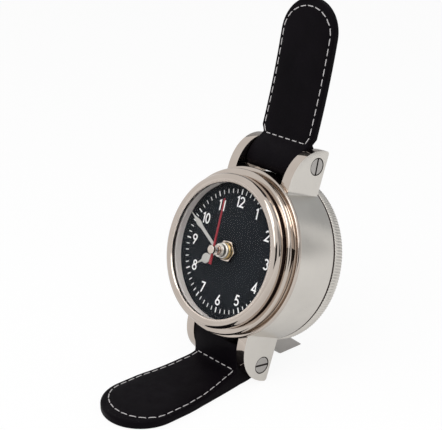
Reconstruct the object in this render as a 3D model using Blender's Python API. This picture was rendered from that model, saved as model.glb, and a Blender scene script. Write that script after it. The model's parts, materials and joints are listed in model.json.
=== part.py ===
"""Desk clock: a watch-shaped quartz case leaning on its two strap halves and a rear foot.

Units are metres with +Z up. The clock faces -Y, stands on Z = 0 and is centred on X = Y = 0.
The head frame sits on the dial: its X is the clock's right, its Y runs back through the
case along the hands' axis, and its Z points to twelve o'clock.
"""
import math

import bmesh
import bpy

# The stance
LEAN = math.radians(20.0)
TABLE_CLEARANCE = 0.0004
FIT = 0.0003
OVERRUN = 0.002

# The case drum and its front channel for the bezel
DRUM_RADIUS = 0.0540
DRUM_WALL = 0.0025
DRUM_FRONT = 0.0040
DRUM_BACK = 0.0370
BEAD_HEIGHT = 0.0010
BEAD_LENGTH = 0.0030
SEAT_WALL = 0.0027
WEB_FRONT = 0.0093
WEB_THICKNESS = 0.0020

# The bezel ring, from its crown back to its spigot
LIP_OVERHANG = 0.0025
CROWN_WIDTH = 0.0055
CROWN_HEIGHT = 0.0025
CROWN_BASE = 0.0090
LIP_BACK = 0.0082
GROOVE_FRONT = 0.0035
GROOVE_BACK = 0.0022
GROOVE_DEPTH = 0.0015
COLLAR_STEP = 0.0010
COLLAR_BACK = 0.0006
BEZEL_STEP = 0.0090

# The glass, its gasket, the surround and the dial
GLASS_THICKNESS = 0.0012
GLASS_WALL_TOP = 0.0130
GLASS_RISE = 0.0083
GASKET_THICKNESS = 0.0005
SURROUND_THICKNESS = 0.0017
DIAL_THICKNESS = 0.0012

# The lugs, their screws and the strap bars
LUG_INNER = 0.0210
LUG_THICKNESS = 0.0070
LUG_FRONT = 0.0074
LUG_SETBACK = 0.0015
LUG_MARGIN = 0.0108
LUG_STRAIGHT = 0.0160
LUG_CORNER = 0.0020
LUG_CURVE_POWER = 2.2
BAR_STANDOFF = 0.0120
BAR_SETBACK = 0.0093
BAR_RADIUS_SHARE = 0.0606
BAR_BORE_DEPTH = 0.0090
LUG_HEAD_RADIUS = 0.0055
LUG_HEAD_THICKNESS = 0.0024
LUG_SHANK_RADIUS = 0.0025
LUG_SHANK_LENGTH = 0.0118
LUG_SLOT_WIDTH = 0.0013
LUG_SLOT_DEPTH = 0.0008

# The leather straps
ROOT_CLEARANCE = 0.0004
FREE_SPREAD = 0.0028
TAIL_SPREAD = 0.0055
STRAP_THICKNESS = 0.0054
FREE_LENGTH = 0.0892
FREE_LEAN_START = math.radians(18.3)
FREE_LEAN_END = math.radians(8.8)
TAIL_LENGTH = 0.0977
FREE_STEPS = 14
TIP_STEPS = 7
TIP_MINIMUM_SHARE = 0.12
WIDENING_SHARE = 0.10

# The quartz movement and its battery
MOVEMENT_ROOM = 0.0024
BATTERY_SHARE = 0.125
MOVEMENT_WALL = 0.0015
WASHER_THICKNESS = 0.0010
RUBBER_RADIUS = 0.0110
COVER_THICKNESS = 0.0012
BATTERY_ROOM = 0.0015
BATTERY_CLEARANCE = 0.0005
BATTERY_NUB_RADIUS = 0.0026
BATTERY_NUB_LENGTH = 0.0010
CONTACT_SIZE = 0.0080
CONTACT_THICKNESS = 0.0006
CONTACT_GAP = 0.0005
COIL_RADIUS = 0.0045
COIL_CORE_SHARE = 0.72
COIL_LENGTH_SHARE = 0.755
COIL_FLANGE = 0.0015
COIL_MARGIN = 0.0035
COIL_DROP = 0.0085
BOARD_THICKNESS = 0.0016
BOARD_MARGIN = 0.0015
BOARD_LENGTH_SHARE = 0.755
BOARD_WIDTH = 0.0130

# The threaded bushing, its washers and nut
BUSHING_RADIUS = 0.0040
BUSHING_BORE = 0.0030
BUSHING_END = 0.0065
BUSHING_FLANGE_RADIUS = 0.0060
BRASS_RADIUS = 0.0050
BRASS_THICKNESS = 0.0012
NUT_ACROSS_FLATS = 0.0126
NUT_THICKNESS = 0.0026
NUT_TURN = math.radians(-11.0)

# The arbors, wheels and setting knob
HOUR_TUBE_RADIUS = 0.0027
MINUTE_TUBE_RADIUS = 0.0016
ARBOR_RADIUS = 0.0006
TUBE_WALL = 0.0008
WHEEL_THICKNESS = 0.0010
WHEEL_GAP = 0.0010
HOUR_WHEEL_SHARE = 0.140
MINUTE_WHEEL_SHARE = 0.135
SECOND_WHEEL_SHARE = 0.130
TOOTH_DEPTH = 0.0007
TOOTH_COUNT = 24
KNOB_RADIUS = 0.0080
KNOB_THICKNESS = 0.0035
KNOB_STEM_RADIUS = 0.0022
KNOB_GROOVE = 0.0005
KNOB_FLUTES = 16

# The hands, with the clock standing at ten to eight
HAND_THICKNESS = 0.0005
HOUR_HAND_FRONT = 0.0078
HOUR_HUB_RADIUS = 0.0042
HOUR_HUB_THICKNESS = 0.0014
HOUR_HAND_MARGIN = 0.0210
HOUR_HAND_WIDTH = 0.0064
MINUTE_HAND_FRONT = 0.0109
MINUTE_HUB_RADIUS = 0.0032
MINUTE_HUB_THICKNESS = 0.0015
MINUTE_HAND_MARGIN = 0.0080
MINUTE_HAND_WIDTH = 0.0038
SECOND_HAND_FRONT = 0.0144
SECOND_HUB_RADIUS = 0.0024
SECOND_HAND_MARGIN = 0.0100
SECOND_HAND_WIDTH = 0.0024
CAP_RADIUS = 0.0025
CAP_THICKNESS = 0.0017
CAP_SOCKET_SHARE = 0.45
HOUR_ANGLE = math.radians(232.0)
MINUTE_ANGLE = math.radians(298.0)
HOUR_SHAPE_SHARES = (
    (0.0, 0.30), (0.42, 0.27), (0.48, 0.55), (0.55, 0.90), (0.63, 1.0), (0.70, 0.92),
    (0.76, 0.62), (0.81, 0.26), (1.0, 0.09),
)
MINUTE_SHAPE_SHARES = (
    (0.0, 0.48), (0.30, 0.55), (0.58, 0.62), (0.66, 0.90), (0.71, 1.0), (0.77, 0.82),
    (0.84, 0.42), (0.90, 0.18), (1.0, 0.10),
)
SECOND_SHAPE_SHARES = ((-0.28, 1.0), (-0.06, 0.70), (0.06, 0.66), (1.0, 0.34))

# The back cap with its coined edge, and the gasket in front of it
CAP_GAP = 0.0010
CAP_LENGTH = 0.0080
CAP_WALL = 0.0030
CAP_CHAMFER = 0.0006
SPIGOT_LENGTH = 0.0050
SPIGOT_WALL = 0.0012
COIN_FLUTES = 110
COIN_DEPTH = 0.0007
RIM_GASKET_STEP = 0.0014
RIM_GASKET_THICKNESS = 0.0004

# The rear foot and its screws
FOOT_HALF_WIDTH = 0.0090
FOOT_CHAMFER = 0.0012
FOOT_KICK = 0.0138
FOOT_SOLE = 0.0210
FOOT_TOP_STEP = 0.0090
FOOT_LOW_STEP = 0.0005
FOOT_SCREW_STEP = 0.0064
FOOT_SCREW_SPREAD = 0.0045
FOOT_SCREW_RADIUS = 0.0010
FOOT_SCREW_DEPTH = 0.0029
FOOT_HEAD_RADIUS = 0.0021
FOOT_HEAD_THICKNESS = 0.0014

# Facet counts
RING_SEGMENTS = 64
SMALL_SEGMENTS = 20
HOLE_SEGMENTS = 20
ARC_STEPS = 5
DOME_STEPS = 4

# Surface looks: colour, metallic, roughness
POLISHED = ((0.78, 0.73, 0.68), 1.0, 0.12)
SATIN = ((0.62, 0.60, 0.57), 1.0, 0.38)
BRASS = ((0.80, 0.62, 0.32), 1.0, 0.25)
STEEL = ((0.70, 0.70, 0.71), 1.0, 0.25)
GLASS = ((0.95, 0.97, 0.98), 0.0, 0.02)
RUBBER = ((0.03, 0.03, 0.03), 0.0, 0.70)
SILVER_PAINT = ((0.62, 0.63, 0.64), 0.2, 0.50)
DIAL_PAINT = ((0.018, 0.020, 0.024), 0.0, 0.55)
LEATHER = ((0.012, 0.010, 0.013), 0.0, 0.50)
BLACK_PLASTIC = ((0.02, 0.02, 0.022), 0.0, 0.45)
WHITE_PLASTIC = ((0.80, 0.80, 0.78), 0.0, 0.40)
COPPER = ((0.72, 0.35, 0.18), 1.0, 0.35)
BOARD_GREEN = ((0.02, 0.16, 0.07), 0.0, 0.45)
BATTERY_LABEL = ((0.10, 0.12, 0.16), 0.0, 0.35)
HAND_WHITE = ((0.82, 0.81, 0.79), 0.4, 0.30)
HAND_RED = ((0.46, 0.035, 0.045), 0.0, 0.35)

# Places of the case, bezel and glass worked out from the sizes above
BORE = DRUM_RADIUS - DRUM_WALL
NECK_RADIUS = BORE - FIT
COLLAR_RADIUS = DRUM_RADIUS - COLLAR_STEP
BEZEL_BORE = DRUM_RADIUS - BEZEL_STEP
LIP_RADIUS = BEZEL_BORE - LIP_OVERHANG
SEAT_RADIUS = BEZEL_BORE - FIT
SEAT_BORE = SEAT_RADIUS - SEAT_WALL
SURROUND_BORE = SEAT_RADIUS - SURROUND_THICKNESS
GASKET_FRONT = LIP_BACK - FIT
FLANGE_FRONT = GASKET_FRONT - GASKET_THICKNESS - FIT
FLANGE_BACK = FLANGE_FRONT - GLASS_THICKNESS
GLASS_RADIUS = LIP_RADIUS - FIT

# Places of the lugs, the straps and the table
BAR_UP = DRUM_RADIUS + BAR_STANDOFF
BAR_DEPTH = DRUM_BACK - BAR_SETBACK
BAR_RADIUS = BAR_RADIUS_SHARE * BAR_UP
LUG_BACK = DRUM_BACK - LUG_SETBACK
LUG_REACH = BAR_UP + LUG_MARGIN
LUG_CURVE_START = BAR_UP - LUG_STRAIGHT
LUG_OUTER = LUG_INNER + LUG_THICKNESS
LUG_CLEARANCE_RADIUS = DRUM_RADIUS + FIT
LOWEST_LUG = LUG_REACH * math.cos(LEAN) + (LUG_BACK - LUG_CORNER) * math.sin(LEAN)
DIAL_HEIGHT = LOWEST_LUG + TABLE_CLEARANCE
ROOT_HALF_WIDTH = LUG_INNER - ROOT_CLEARANCE
FREE_HALF_WIDTH = ROOT_HALF_WIDTH + FREE_SPREAD
TAIL_HALF_WIDTH = ROOT_HALF_WIDTH + TAIL_SPREAD

# Places of the movement and what is in it
MOVEMENT_SIZE = math.sqrt(2.0) * (SEAT_BORE - MOVEMENT_ROOM)
MOVEMENT_HALF = 0.5 * MOVEMENT_SIZE
ROOM_HALF = MOVEMENT_HALF - MOVEMENT_WALL
BATTERY_RADIUS = BATTERY_SHARE * MOVEMENT_SIZE
BATTERY_LENGTH = 2.0 * (ROOM_HALF - BATTERY_ROOM)
BAY_TOP = 2.0 * BATTERY_RADIUS + BATTERY_ROOM - ROOM_HALF
MOVEMENT_DEPTH = 2.0 * BATTERY_RADIUS + MOVEMENT_WALL + BATTERY_CLEARANCE
RUBBER_FRONT = DIAL_THICKNESS + FIT
MOVEMENT_FRONT = RUBBER_FRONT + WASHER_THICKNESS + FIT
MOVEMENT_BACK = MOVEMENT_FRONT + MOVEMENT_DEPTH
ROOM_FRONT = MOVEMENT_FRONT + MOVEMENT_WALL
COVER_FRONT = MOVEMENT_BACK + FIT
BOARD_LEFT = BOARD_MARGIN - ROOM_HALF
BOARD_HIGH = ROOM_HALF - BOARD_MARGIN
COIL_END = ROOM_HALF - COIL_MARGIN
COIL_LENGTH = COIL_LENGTH_SHARE * ROOM_HALF
BOARD_LENGTH = BOARD_LENGTH_SHARE * ROOM_HALF
COIL_UP = ROOM_HALF - COIL_DROP

# Places of the wheels, the knob and the hands
CENTRE_HOLE = BUSHING_RADIUS + FIT
BUSHING_FLANGE_FRONT = ROOM_FRONT + FIT
BUSHING_BACK = BUSHING_FLANGE_FRONT + TUBE_WALL
HOUR_WHEEL_FRONT = BUSHING_BACK + FIT
MINUTE_WHEEL_FRONT = HOUR_WHEEL_FRONT + WHEEL_THICKNESS + WHEEL_GAP
SECOND_WHEEL_FRONT = MINUTE_WHEEL_FRONT + WHEEL_THICKNESS + WHEEL_GAP
KNOB_STEM_FRONT = SECOND_WHEEL_FRONT + WHEEL_THICKNESS + FIT
KNOB_FRONT = COVER_FRONT + COVER_THICKNESS + FIT
HOUR_WHEEL_RADIUS = HOUR_WHEEL_SHARE * MOVEMENT_SIZE
MINUTE_WHEEL_RADIUS = MINUTE_WHEEL_SHARE * MOVEMENT_SIZE
SECOND_WHEEL_RADIUS = SECOND_WHEEL_SHARE * MOVEMENT_SIZE
HOUR_HAND_LENGTH = SURROUND_BORE - HOUR_HAND_MARGIN
MINUTE_HAND_LENGTH = SURROUND_BORE - MINUTE_HAND_MARGIN
SECOND_HAND_LENGTH = SURROUND_BORE - SECOND_HAND_MARGIN

# Places of the back cap and the foot
CAP_FRONT = DRUM_BACK + CAP_GAP
CAP_BACK = CAP_FRONT + CAP_LENGTH
RIM_GASKET_RADIUS = DRUM_RADIUS - RIM_GASKET_STEP
FOOT_FACE = CAP_BACK + FIT
FOOT_TOP_UP = FOOT_TOP_STEP - DRUM_RADIUS
FOOT_LOW_UP = FOOT_LOW_STEP - DRUM_RADIUS
FOOT_SCREW_UP = FOOT_SCREW_STEP - DRUM_RADIUS


def head_to_stand(up, depth):
    """Turn a head-frame height and depth into the stand frame's (y, z)."""
    y = up * math.sin(LEAN) + depth * math.cos(LEAN)
    z = up * math.cos(LEAN) - depth * math.sin(LEAN)
    return y, z


def clear_scene():
    """Remove every object of the scene."""
    for item in list(bpy.data.objects):
        bpy.data.objects.remove(item, do_unlink=True)


def add_empty(name, location, lean):
    """Make an empty that carries one frame."""
    frame = bpy.data.objects.new(name, None)
    frame.location = location
    frame.rotation_euler = (lean, 0.0, 0.0)
    bpy.context.collection.objects.link(frame)
    return frame


def paint(item, look):
    """Give an object its own Principled material."""
    colour, metallic, roughness = look
    material = bpy.data.materials.new(item.name + "_material")
    material.use_nodes = True
    shader = material.node_tree.nodes["Principled BSDF"]
    shader.inputs["Base Color"].default_value = (*colour, 1.0)
    shader.inputs["Metallic"].default_value = metallic
    shader.inputs["Roughness"].default_value = roughness
    item.data.materials.append(material)


def finish(name, shape, parent, look=None):
    """Close a bmesh into a named object under its parent."""
    bmesh.ops.recalc_face_normals(shape, faces=shape.faces)
    mesh = bpy.data.meshes.new(name)
    shape.to_mesh(mesh)
    shape.free()
    item = bpy.data.objects.new(name, mesh)
    bpy.context.collection.objects.link(item)
    item.parent = parent
    if look:
        paint(item, look)
    return item


def turned(name, outline, parent, look=None, segments=RING_SEGMENTS):
    """Turn (radius, depth) points about the hands' axis; a third value grooves every other step."""
    shape = bmesh.new()
    rings = []
    for radius, depth, *groove in outline:
        if radius == 0:
            rings.append([shape.verts.new((0.0, depth, 0.0))])
            continue
        ring = []
        for step in range(segments):
            angle = math.tau * step / segments
            reach = radius - (groove[0] if groove and step % 2 else 0.0)
            ring.append(shape.verts.new((reach * math.cos(angle), depth, reach * math.sin(angle))))
        rings.append(ring)
    pairs = list(zip(rings, rings[1:]))
    if len(rings[0]) > 1:
        pairs.append((rings[-1], rings[0]))
    for first, second in pairs:
        for step in range(segments):
            after = (step + 1) % segments
            corners = [first[step % len(first)], first[after % len(first)]]
            corners += [second[after % len(second)], second[step % len(second)]]
            face = list(dict.fromkeys(corners))
            shape.faces.new(face)
    return finish(name, shape, parent, look)


def plate(name, outline, start, end, along, parent, look=None):
    """Extrude a flat outline; along X it holds (y, z) points, along Y it holds (x, z) points."""
    shape = bmesh.new()
    sides = []
    for offset in (start, end):
        if along == "X":
            sides.append([shape.verts.new((offset, a, b)) for a, b in outline])
        else:
            sides.append([shape.verts.new((a, offset, b)) for a, b in outline])
    shape.faces.new(sides[0])
    shape.faces.new(reversed(sides[1]))
    count = len(outline)
    for step in range(count):
        after = (step + 1) % count
        shape.faces.new((sides[0][step], sides[0][after], sides[1][after], sides[1][step]))
    return finish(name, shape, parent, look)


def block(name, low, high, parent, look=None):
    """Make a box between two corners."""
    outline = ((low[1], low[2]), (high[1], low[2]), (high[1], high[2]), (low[1], high[2]))
    return plate(name, outline, low[0], high[0], "X", parent, look)


def rod(name, radius, start, end, centre, along, parent, look=None):
    """Make a cylinder along X or Y through a centre given in the other two axes."""
    outline = []
    for step in range(HOLE_SEGMENTS):
        angle = math.tau * step / HOLE_SEGMENTS
        outline.append((centre[0] + radius * math.cos(angle), centre[1] + radius * math.sin(angle)))
    return plate(name, outline, start, end, along, parent, look)


def combine(item, other, operation):
    """Add a Boolean with a helper object that is no part of the clock itself."""
    other.hide_render = True
    other.display_type = "WIRE"
    boolean = item.modifiers.new(operation.lower(), "BOOLEAN")
    boolean.operation = operation
    boolean.solver = "EXACT"
    boolean.object = other


def bore(item, radius, start, end, centre, along, parent):
    """Drill a round hole with its cutter in the same frame."""
    cutter = rod(item.name + "_cutter", radius, start, end, centre, along, parent)
    combine(item, cutter, "DIFFERENCE")


def pocket(item, low, high, parent):
    """Cut a box out of an object."""
    combine(item, block(item.name + "_cutter", low, high, parent), "DIFFERENCE")


def arc(centre_radius, centre_depth, half_width, half_depth, start, end):
    """Sample an elliptic arc of a turned outline between two angles in degrees."""
    points = []
    for step in range(ARC_STEPS + 1):
        angle = math.radians(start + (end - start) * step / ARC_STEPS)
        radius = centre_radius + half_width * math.cos(angle)
        points.append((radius, centre_depth - half_depth * math.sin(angle)))
    return points


def case_drum(head):
    """The tube that holds everything, with a web and a dial seat inside its front."""
    bead_back = DRUM_FRONT + BEAD_LENGTH
    bead_middle = 0.5 * (DRUM_FRONT + bead_back)
    outline = arc(DRUM_RADIUS, bead_middle, BEAD_HEIGHT, 0.5 * BEAD_LENGTH, 90.0, -90.0)
    outline += [
        (DRUM_RADIUS, DRUM_BACK),
        (BORE, DRUM_BACK),
        (BORE, WEB_FRONT + WEB_THICKNESS),
        (SEAT_BORE, WEB_FRONT + WEB_THICKNESS),
        (SEAT_BORE, DIAL_THICKNESS + FIT),
        (SEAT_RADIUS, DIAL_THICKNESS + FIT),
        (SEAT_RADIUS, WEB_FRONT),
        (BORE, WEB_FRONT),
        (BORE, DRUM_FRONT),
    ]
    return turned("case_drum", outline, head, SATIN)


def bezel_ring(head):
    """The polished front: crown, groove, collar bead and the spigot that enters the drum."""
    crown_middle = LIP_RADIUS + 0.5 * CROWN_WIDTH
    crown_outer = LIP_RADIUS + CROWN_WIDTH
    outline = arc(crown_middle, -CROWN_BASE, 0.5 * CROWN_WIDTH, CROWN_HEIGHT, 180.0, 0.0)
    outline += [
        (crown_outer, -GROOVE_FRONT),
        (crown_outer - GROOVE_DEPTH, -GROOVE_FRONT),
        (crown_outer - GROOVE_DEPTH, -GROOVE_BACK),
    ]
    half_depth = 0.5 * (GROOVE_BACK + COLLAR_BACK)
    middle = COLLAR_BACK - half_depth
    outline += arc(COLLAR_RADIUS - half_depth, middle, half_depth, half_depth, 90.0, -90.0)
    outline += [
        (NECK_RADIUS, COLLAR_BACK),
        (NECK_RADIUS, WEB_FRONT - FIT),
        (BEZEL_BORE, WEB_FRONT - FIT),
        (BEZEL_BORE, -LIP_BACK),
        (LIP_RADIUS, -LIP_BACK),
    ]
    return turned("bezel_ring", outline, head, POLISHED)


def dome_points(radius, rise, top):
    """The dome's points from its wall to just before its apex."""
    points = []
    for step in range(DOME_STEPS):
        share = math.cos(0.5 * math.pi * step / DOME_STEPS)
        points.append((share * radius, -top - (1.0 - share * share) * rise))
    return points


def glass_lens(head):
    """A domed glass with a flange behind the bezel's lip."""
    inner_radius = GLASS_RADIUS - GLASS_THICKNESS
    inner_rise = GLASS_RISE - GLASS_THICKNESS
    outline = [(0.0, -GLASS_WALL_TOP - inner_rise)]
    outline += reversed(dome_points(inner_radius, inner_rise, GLASS_WALL_TOP))
    outline += [
        (inner_radius, -FLANGE_BACK),
        (SEAT_RADIUS, -FLANGE_BACK),
        (SEAT_RADIUS, -FLANGE_FRONT),
        (GLASS_RADIUS, -FLANGE_FRONT),
    ]
    outline += dome_points(GLASS_RADIUS, GLASS_RISE, GLASS_WALL_TOP)
    outline.append((0.0, -GLASS_WALL_TOP - GLASS_RISE))
    return turned("glass_lens", outline, head, GLASS)


def glass_gasket(head):
    """The seal between the glass flange and the lip."""
    back = GASKET_FRONT - GASKET_THICKNESS
    outline = ring_outline(SURROUND_BORE, SEAT_RADIUS, -GASKET_FRONT, -back)
    return turned("glass_gasket", outline, head, RUBBER)


def ring_outline(inner, outer, front, back):
    """The four corners of a plain ring."""
    return [(inner, front), (outer, front), (outer, back), (inner, back)]


def dial_surround(head):
    """The pale wall that stands round the dial."""
    outline = ring_outline(SURROUND_BORE, SEAT_RADIUS, FIT - FLANGE_BACK, -FIT)
    return turned("dial_surround", outline, head, SILVER_PAINT)


def dial_plate(head):
    """The dial with its centre hole."""
    outline = ring_outline(CENTRE_HOLE, SEAT_RADIUS, 0.0, DIAL_THICKNESS)
    return turned("dial_plate", outline, head, DIAL_PAINT)


def lug_outline(side):
    """The lug's side view: a swept front edge that turns under into a straight rear edge."""
    reach = LUG_REACH - LUG_CURVE_START
    drop = LUG_BACK - LUG_CORNER - LUG_FRONT
    steps = 2 * ARC_STEPS
    outline = [(LUG_FRONT, side * 0.5 * DRUM_RADIUS)]
    for step in range(steps + 1):
        angle = 0.5 * math.pi * step / steps
        along = math.sin(angle) ** (2.0 / LUG_CURVE_POWER)
        down = 1.0 - math.cos(angle) ** (2.0 / LUG_CURVE_POWER)
        outline.append((LUG_FRONT + drop * down, side * (LUG_CURVE_START + reach * along)))
    outline.append((LUG_BACK, side * (LUG_REACH - LUG_CORNER)))
    outline.append((LUG_BACK, side * 0.5 * DRUM_RADIUS))
    return outline


def lug(name, across, side, head):
    """One lug plate, drilled and counterbored for its screw."""
    start, end = sorted((across * LUG_INNER, across * LUG_OUTER))
    item = plate(name, lug_outline(side), start, end, "X", head, SATIN)
    drum = [(LUG_CLEARANCE_RADIUS, 0.0), (LUG_CLEARANCE_RADIUS, LUG_BACK + OVERRUN)]
    drum = [(0.0, 0.0), *drum, (0.0, LUG_BACK + OVERRUN)]
    combine(item, turned(name + "_drum_cutter", drum, head), "DIFFERENCE")
    centre = (BAR_DEPTH, side * BAR_UP)
    through = sorted((across * (LUG_INNER - OVERRUN), across * (LUG_OUTER + OVERRUN)))
    bore(item, LUG_SHANK_RADIUS + FIT, *through, centre, "X", head)
    floor = LUG_OUTER - LUG_HEAD_THICKNESS - FIT
    sink = sorted((across * floor, across * (LUG_OUTER + OVERRUN)))
    bore(item, LUG_HEAD_RADIUS + FIT, *sink, centre, "X", head)
    return item


def lug_screw(name, across, side, head):
    """A slotted screw whose head lies flush in the lug and whose shank enters the strap bar."""
    frame = bpy.data.objects.new(name + "_axis", None)
    bpy.context.collection.objects.link(frame)
    frame.parent = head
    frame.location = (across * LUG_OUTER, BAR_DEPTH, side * BAR_UP)
    frame.rotation_euler = (0.0, 0.0, across * 0.5 * math.pi)
    shank_end = LUG_HEAD_THICKNESS + LUG_SHANK_LENGTH
    outline = [
        (0.0, 0.0),
        (LUG_HEAD_RADIUS, 0.0),
        (LUG_HEAD_RADIUS, LUG_HEAD_THICKNESS),
        (LUG_SHANK_RADIUS, LUG_HEAD_THICKNESS),
        (LUG_SHANK_RADIUS, shank_end),
        (0.0, shank_end),
    ]
    item = turned(name, outline, frame, POLISHED, SMALL_SEGMENTS)
    half_slot = 0.5 * LUG_SLOT_WIDTH
    reach = LUG_HEAD_RADIUS + OVERRUN
    long_side = (half_slot, reach) if side > 0 else (reach, half_slot)
    low = (-long_side[0], -OVERRUN, -long_side[1])
    high = (long_side[0], LUG_SLOT_DEPTH, long_side[1])
    pocket(item, low, high, frame)
    return item


def strap_bar(name, side, head):
    """The round bar that the strap is folded over, drilled at both ends."""
    half = LUG_INNER - FIT
    centre = (BAR_DEPTH, side * BAR_UP)
    item = rod(name, BAR_RADIUS, -half, half, centre, "X", head, STEEL)
    bore(item, LUG_SHANK_RADIUS + FIT, -half - OVERRUN, BAR_BORE_DEPTH - half, centre, "X", head)
    bore(item, LUG_SHANK_RADIUS + FIT, half - BAR_BORE_DEPTH, half + OVERRUN, centre, "X", head)
    return item


def ribbon(name, stations, parent, look):
    """Join (front point, rear point, half width) stations into one closed strap."""
    shape = bmesh.new()
    rings = []
    for front, rear, half in stations:
        corners = ((-half, *front), (half, *front), (half, *rear), (-half, *rear))
        rings.append([shape.verts.new(corner) for corner in corners])
    for first, second in zip(rings, rings[1:]):
        for step in range(4):
            after = (step + 1) % 4
            shape.faces.new((first[step], first[after], second[after], second[step]))
    shape.faces.new(rings[0])
    shape.faces.new(reversed(rings[-1]))
    return finish(name, shape, parent, look)


# The rolled root, as shares of the bar's distance from the dial centre: front, then rear points
UPPER_FRONT_SHARES = (
    (0.838, 0.265), (0.864, 0.221), (0.917, 0.203), (0.992, 0.215), (1.068, 0.255), (1.129, 0.303),
)
REAR_SHARES = (
    (0.838, 0.371), (0.871, 0.447), (0.924, 0.500), (1.000, 0.520), (1.076, 0.500), (1.152, 0.448),
)
BEND_SHARE = (1.179, 0.338)

# The lower strap's front line and its turn to the table, as shares of the dial's height
LOWER_FRONT_SHARES = (
    (-0.137, -0.655), (-0.143, -0.702), (-0.143, -0.756), (-0.143, -0.810), (-0.143, -0.857),
    (-0.150, -0.886), (-0.190, -0.898), (-0.238, -0.906), (-0.357, -0.922), (-0.488, -0.934),
    (-0.619, -0.936),
)
LOWER_HEEL_SHARES = (
    (0.030, -0.964), (-0.048, -0.995), (-0.119, -1.0), (-0.262, -1.0), (-0.452, -1.0),
    (-0.600, -1.0),
)
WIDEN_SHARES = (0.0, 0.0, 0.0, 0.0, 0.0, 0.0, 0.05, 0.15, 0.44, 0.75, 0.95)


def tip_widths(radius):
    """Half widths round a strap's rounded end, with their distances from its start."""
    stations = []
    for step in range(1, TIP_STEPS + 1):
        angle = (1.0 - TIP_MINIMUM_SHARE) * 0.5 * math.pi * step / TIP_STEPS
        stations.append((radius * math.sin(angle), radius * math.cos(angle)))
    return stations


def free_path(distance):
    """A point and a lean on the free upper strap's front face, at a distance from its bend."""
    y, z = head_to_stand(BEND_SHARE[0] * BAR_UP, BEND_SHARE[1] * BAR_UP)
    change = (FREE_LEAN_END - FREE_LEAN_START) / FREE_LENGTH
    lean = FREE_LEAN_START + change * distance
    y += (math.cos(FREE_LEAN_START) - math.cos(lean)) / change
    z += (math.sin(lean) - math.sin(FREE_LEAN_START)) / change
    return y, z, lean


def free_station(distance, half):
    """A station of the free upper strap."""
    y, z, lean = free_path(distance)
    rear = (y + STRAP_THICKNESS * math.cos(lean), z - STRAP_THICKNESS * math.sin(lean))
    return (y, z), rear, half


def upper_stations():
    """The upper strap from its rolled root to its rounded tip."""
    stations = []
    for front, rear in zip(UPPER_FRONT_SHARES, REAR_SHARES):
        ends = [head_to_stand(up * BAR_UP, depth * BAR_UP) for up, depth in (front, rear)]
        stations.append((*ends, ROOT_HALF_WIDTH))
    straight = FREE_LENGTH - FREE_HALF_WIDTH
    for step in range(FREE_STEPS + 1):
        share = step / FREE_STEPS
        half = ROOT_HALF_WIDTH + FREE_SPREAD * min(1.0, share / WIDENING_SHARE)
        stations.append(free_station(share * straight, half))
    for along, half in tip_widths(FREE_HALF_WIDTH):
        stations.append(free_station(straight + along, half))
    return stations


def lower_stations():
    """The lower strap, down from the case and out along the table."""
    rears = [head_to_stand(-up * BAR_UP, depth * BAR_UP) for up, depth in REAR_SHARES[:5]]
    rears += [(y * DIAL_HEIGHT, z * DIAL_HEIGHT) for y, z in LOWER_HEEL_SHARES]
    fronts = [(y * DIAL_HEIGHT, z * DIAL_HEIGHT) for y, z in LOWER_FRONT_SHARES]
    stations = []
    for front, rear, widen in zip(fronts, rears, WIDEN_SHARES):
        stations.append((front, rear, ROOT_HALF_WIDTH + TAIL_SPREAD * widen))
    top = STRAP_THICKNESS - DIAL_HEIGHT
    straight = TAIL_LENGTH - TAIL_HALF_WIDTH
    places = [(0.0, TAIL_HALF_WIDTH), *tip_widths(TAIL_HALF_WIDTH)]
    for along, half in places:
        y = -straight - along
        stations.append(((y, top), (y, -DIAL_HEIGHT), half))
    return stations


def strap(name, stations, side, stand):
    """One leather strap, folded round its bar."""
    item = ribbon(name, stations, stand, LEATHER)
    centre = head_to_stand(side * BAR_UP, BAR_DEPTH)
    reach = ROOT_HALF_WIDTH + OVERRUN
    bore(item, BAR_RADIUS + FIT, -reach, reach, centre, "X", stand)
    return item


def movement_case(head):
    """The plastic body with a wheel room above and a battery bay below, both open at the back."""
    half = MOVEMENT_HALF
    item = block("movement_case", (-half, MOVEMENT_FRONT, -half), (half, MOVEMENT_BACK, half), head,
                 BLACK_PLASTIC)
    room = ROOM_HALF
    behind = MOVEMENT_BACK + OVERRUN
    divider_top = BAY_TOP + MOVEMENT_WALL
    pocket(item, (-room, ROOM_FRONT, divider_top), (room, behind, room), head)
    pocket(item, (-room, ROOM_FRONT, -room), (room, behind, BAY_TOP), head)
    front = MOVEMENT_FRONT - OVERRUN
    bore(item, CENTRE_HOLE, front, ROOM_FRONT + OVERRUN, (0.0, 0.0), "Y", head)
    return item


def movement_cover(head):
    """The plate that closes the wheel room, with a hole for the knob's stem."""
    half = MOVEMENT_HALF
    back = COVER_FRONT + COVER_THICKNESS
    item = block("movement_cover", (-half, COVER_FRONT, BAY_TOP), (half, back, half), head,
                 BLACK_PLASTIC)
    ends = (COVER_FRONT - OVERRUN, back + OVERRUN)
    bore(item, KNOB_STEM_RADIUS + FIT, *ends, (0.0, 0.0), "Y", head)
    return item


def threaded_bushing(head):
    """The brass tube that clamps the movement to the dial."""
    outline = [
        (BUSHING_BORE, -BUSHING_END),
        (BUSHING_RADIUS, -BUSHING_END),
        (BUSHING_RADIUS, BUSHING_FLANGE_FRONT),
        (BUSHING_FLANGE_RADIUS, BUSHING_FLANGE_FRONT),
        (BUSHING_FLANGE_RADIUS, BUSHING_BACK),
        (BUSHING_BORE, BUSHING_BACK),
    ]
    return turned("threaded_bushing", outline, head, BRASS, SMALL_SEGMENTS)


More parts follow.
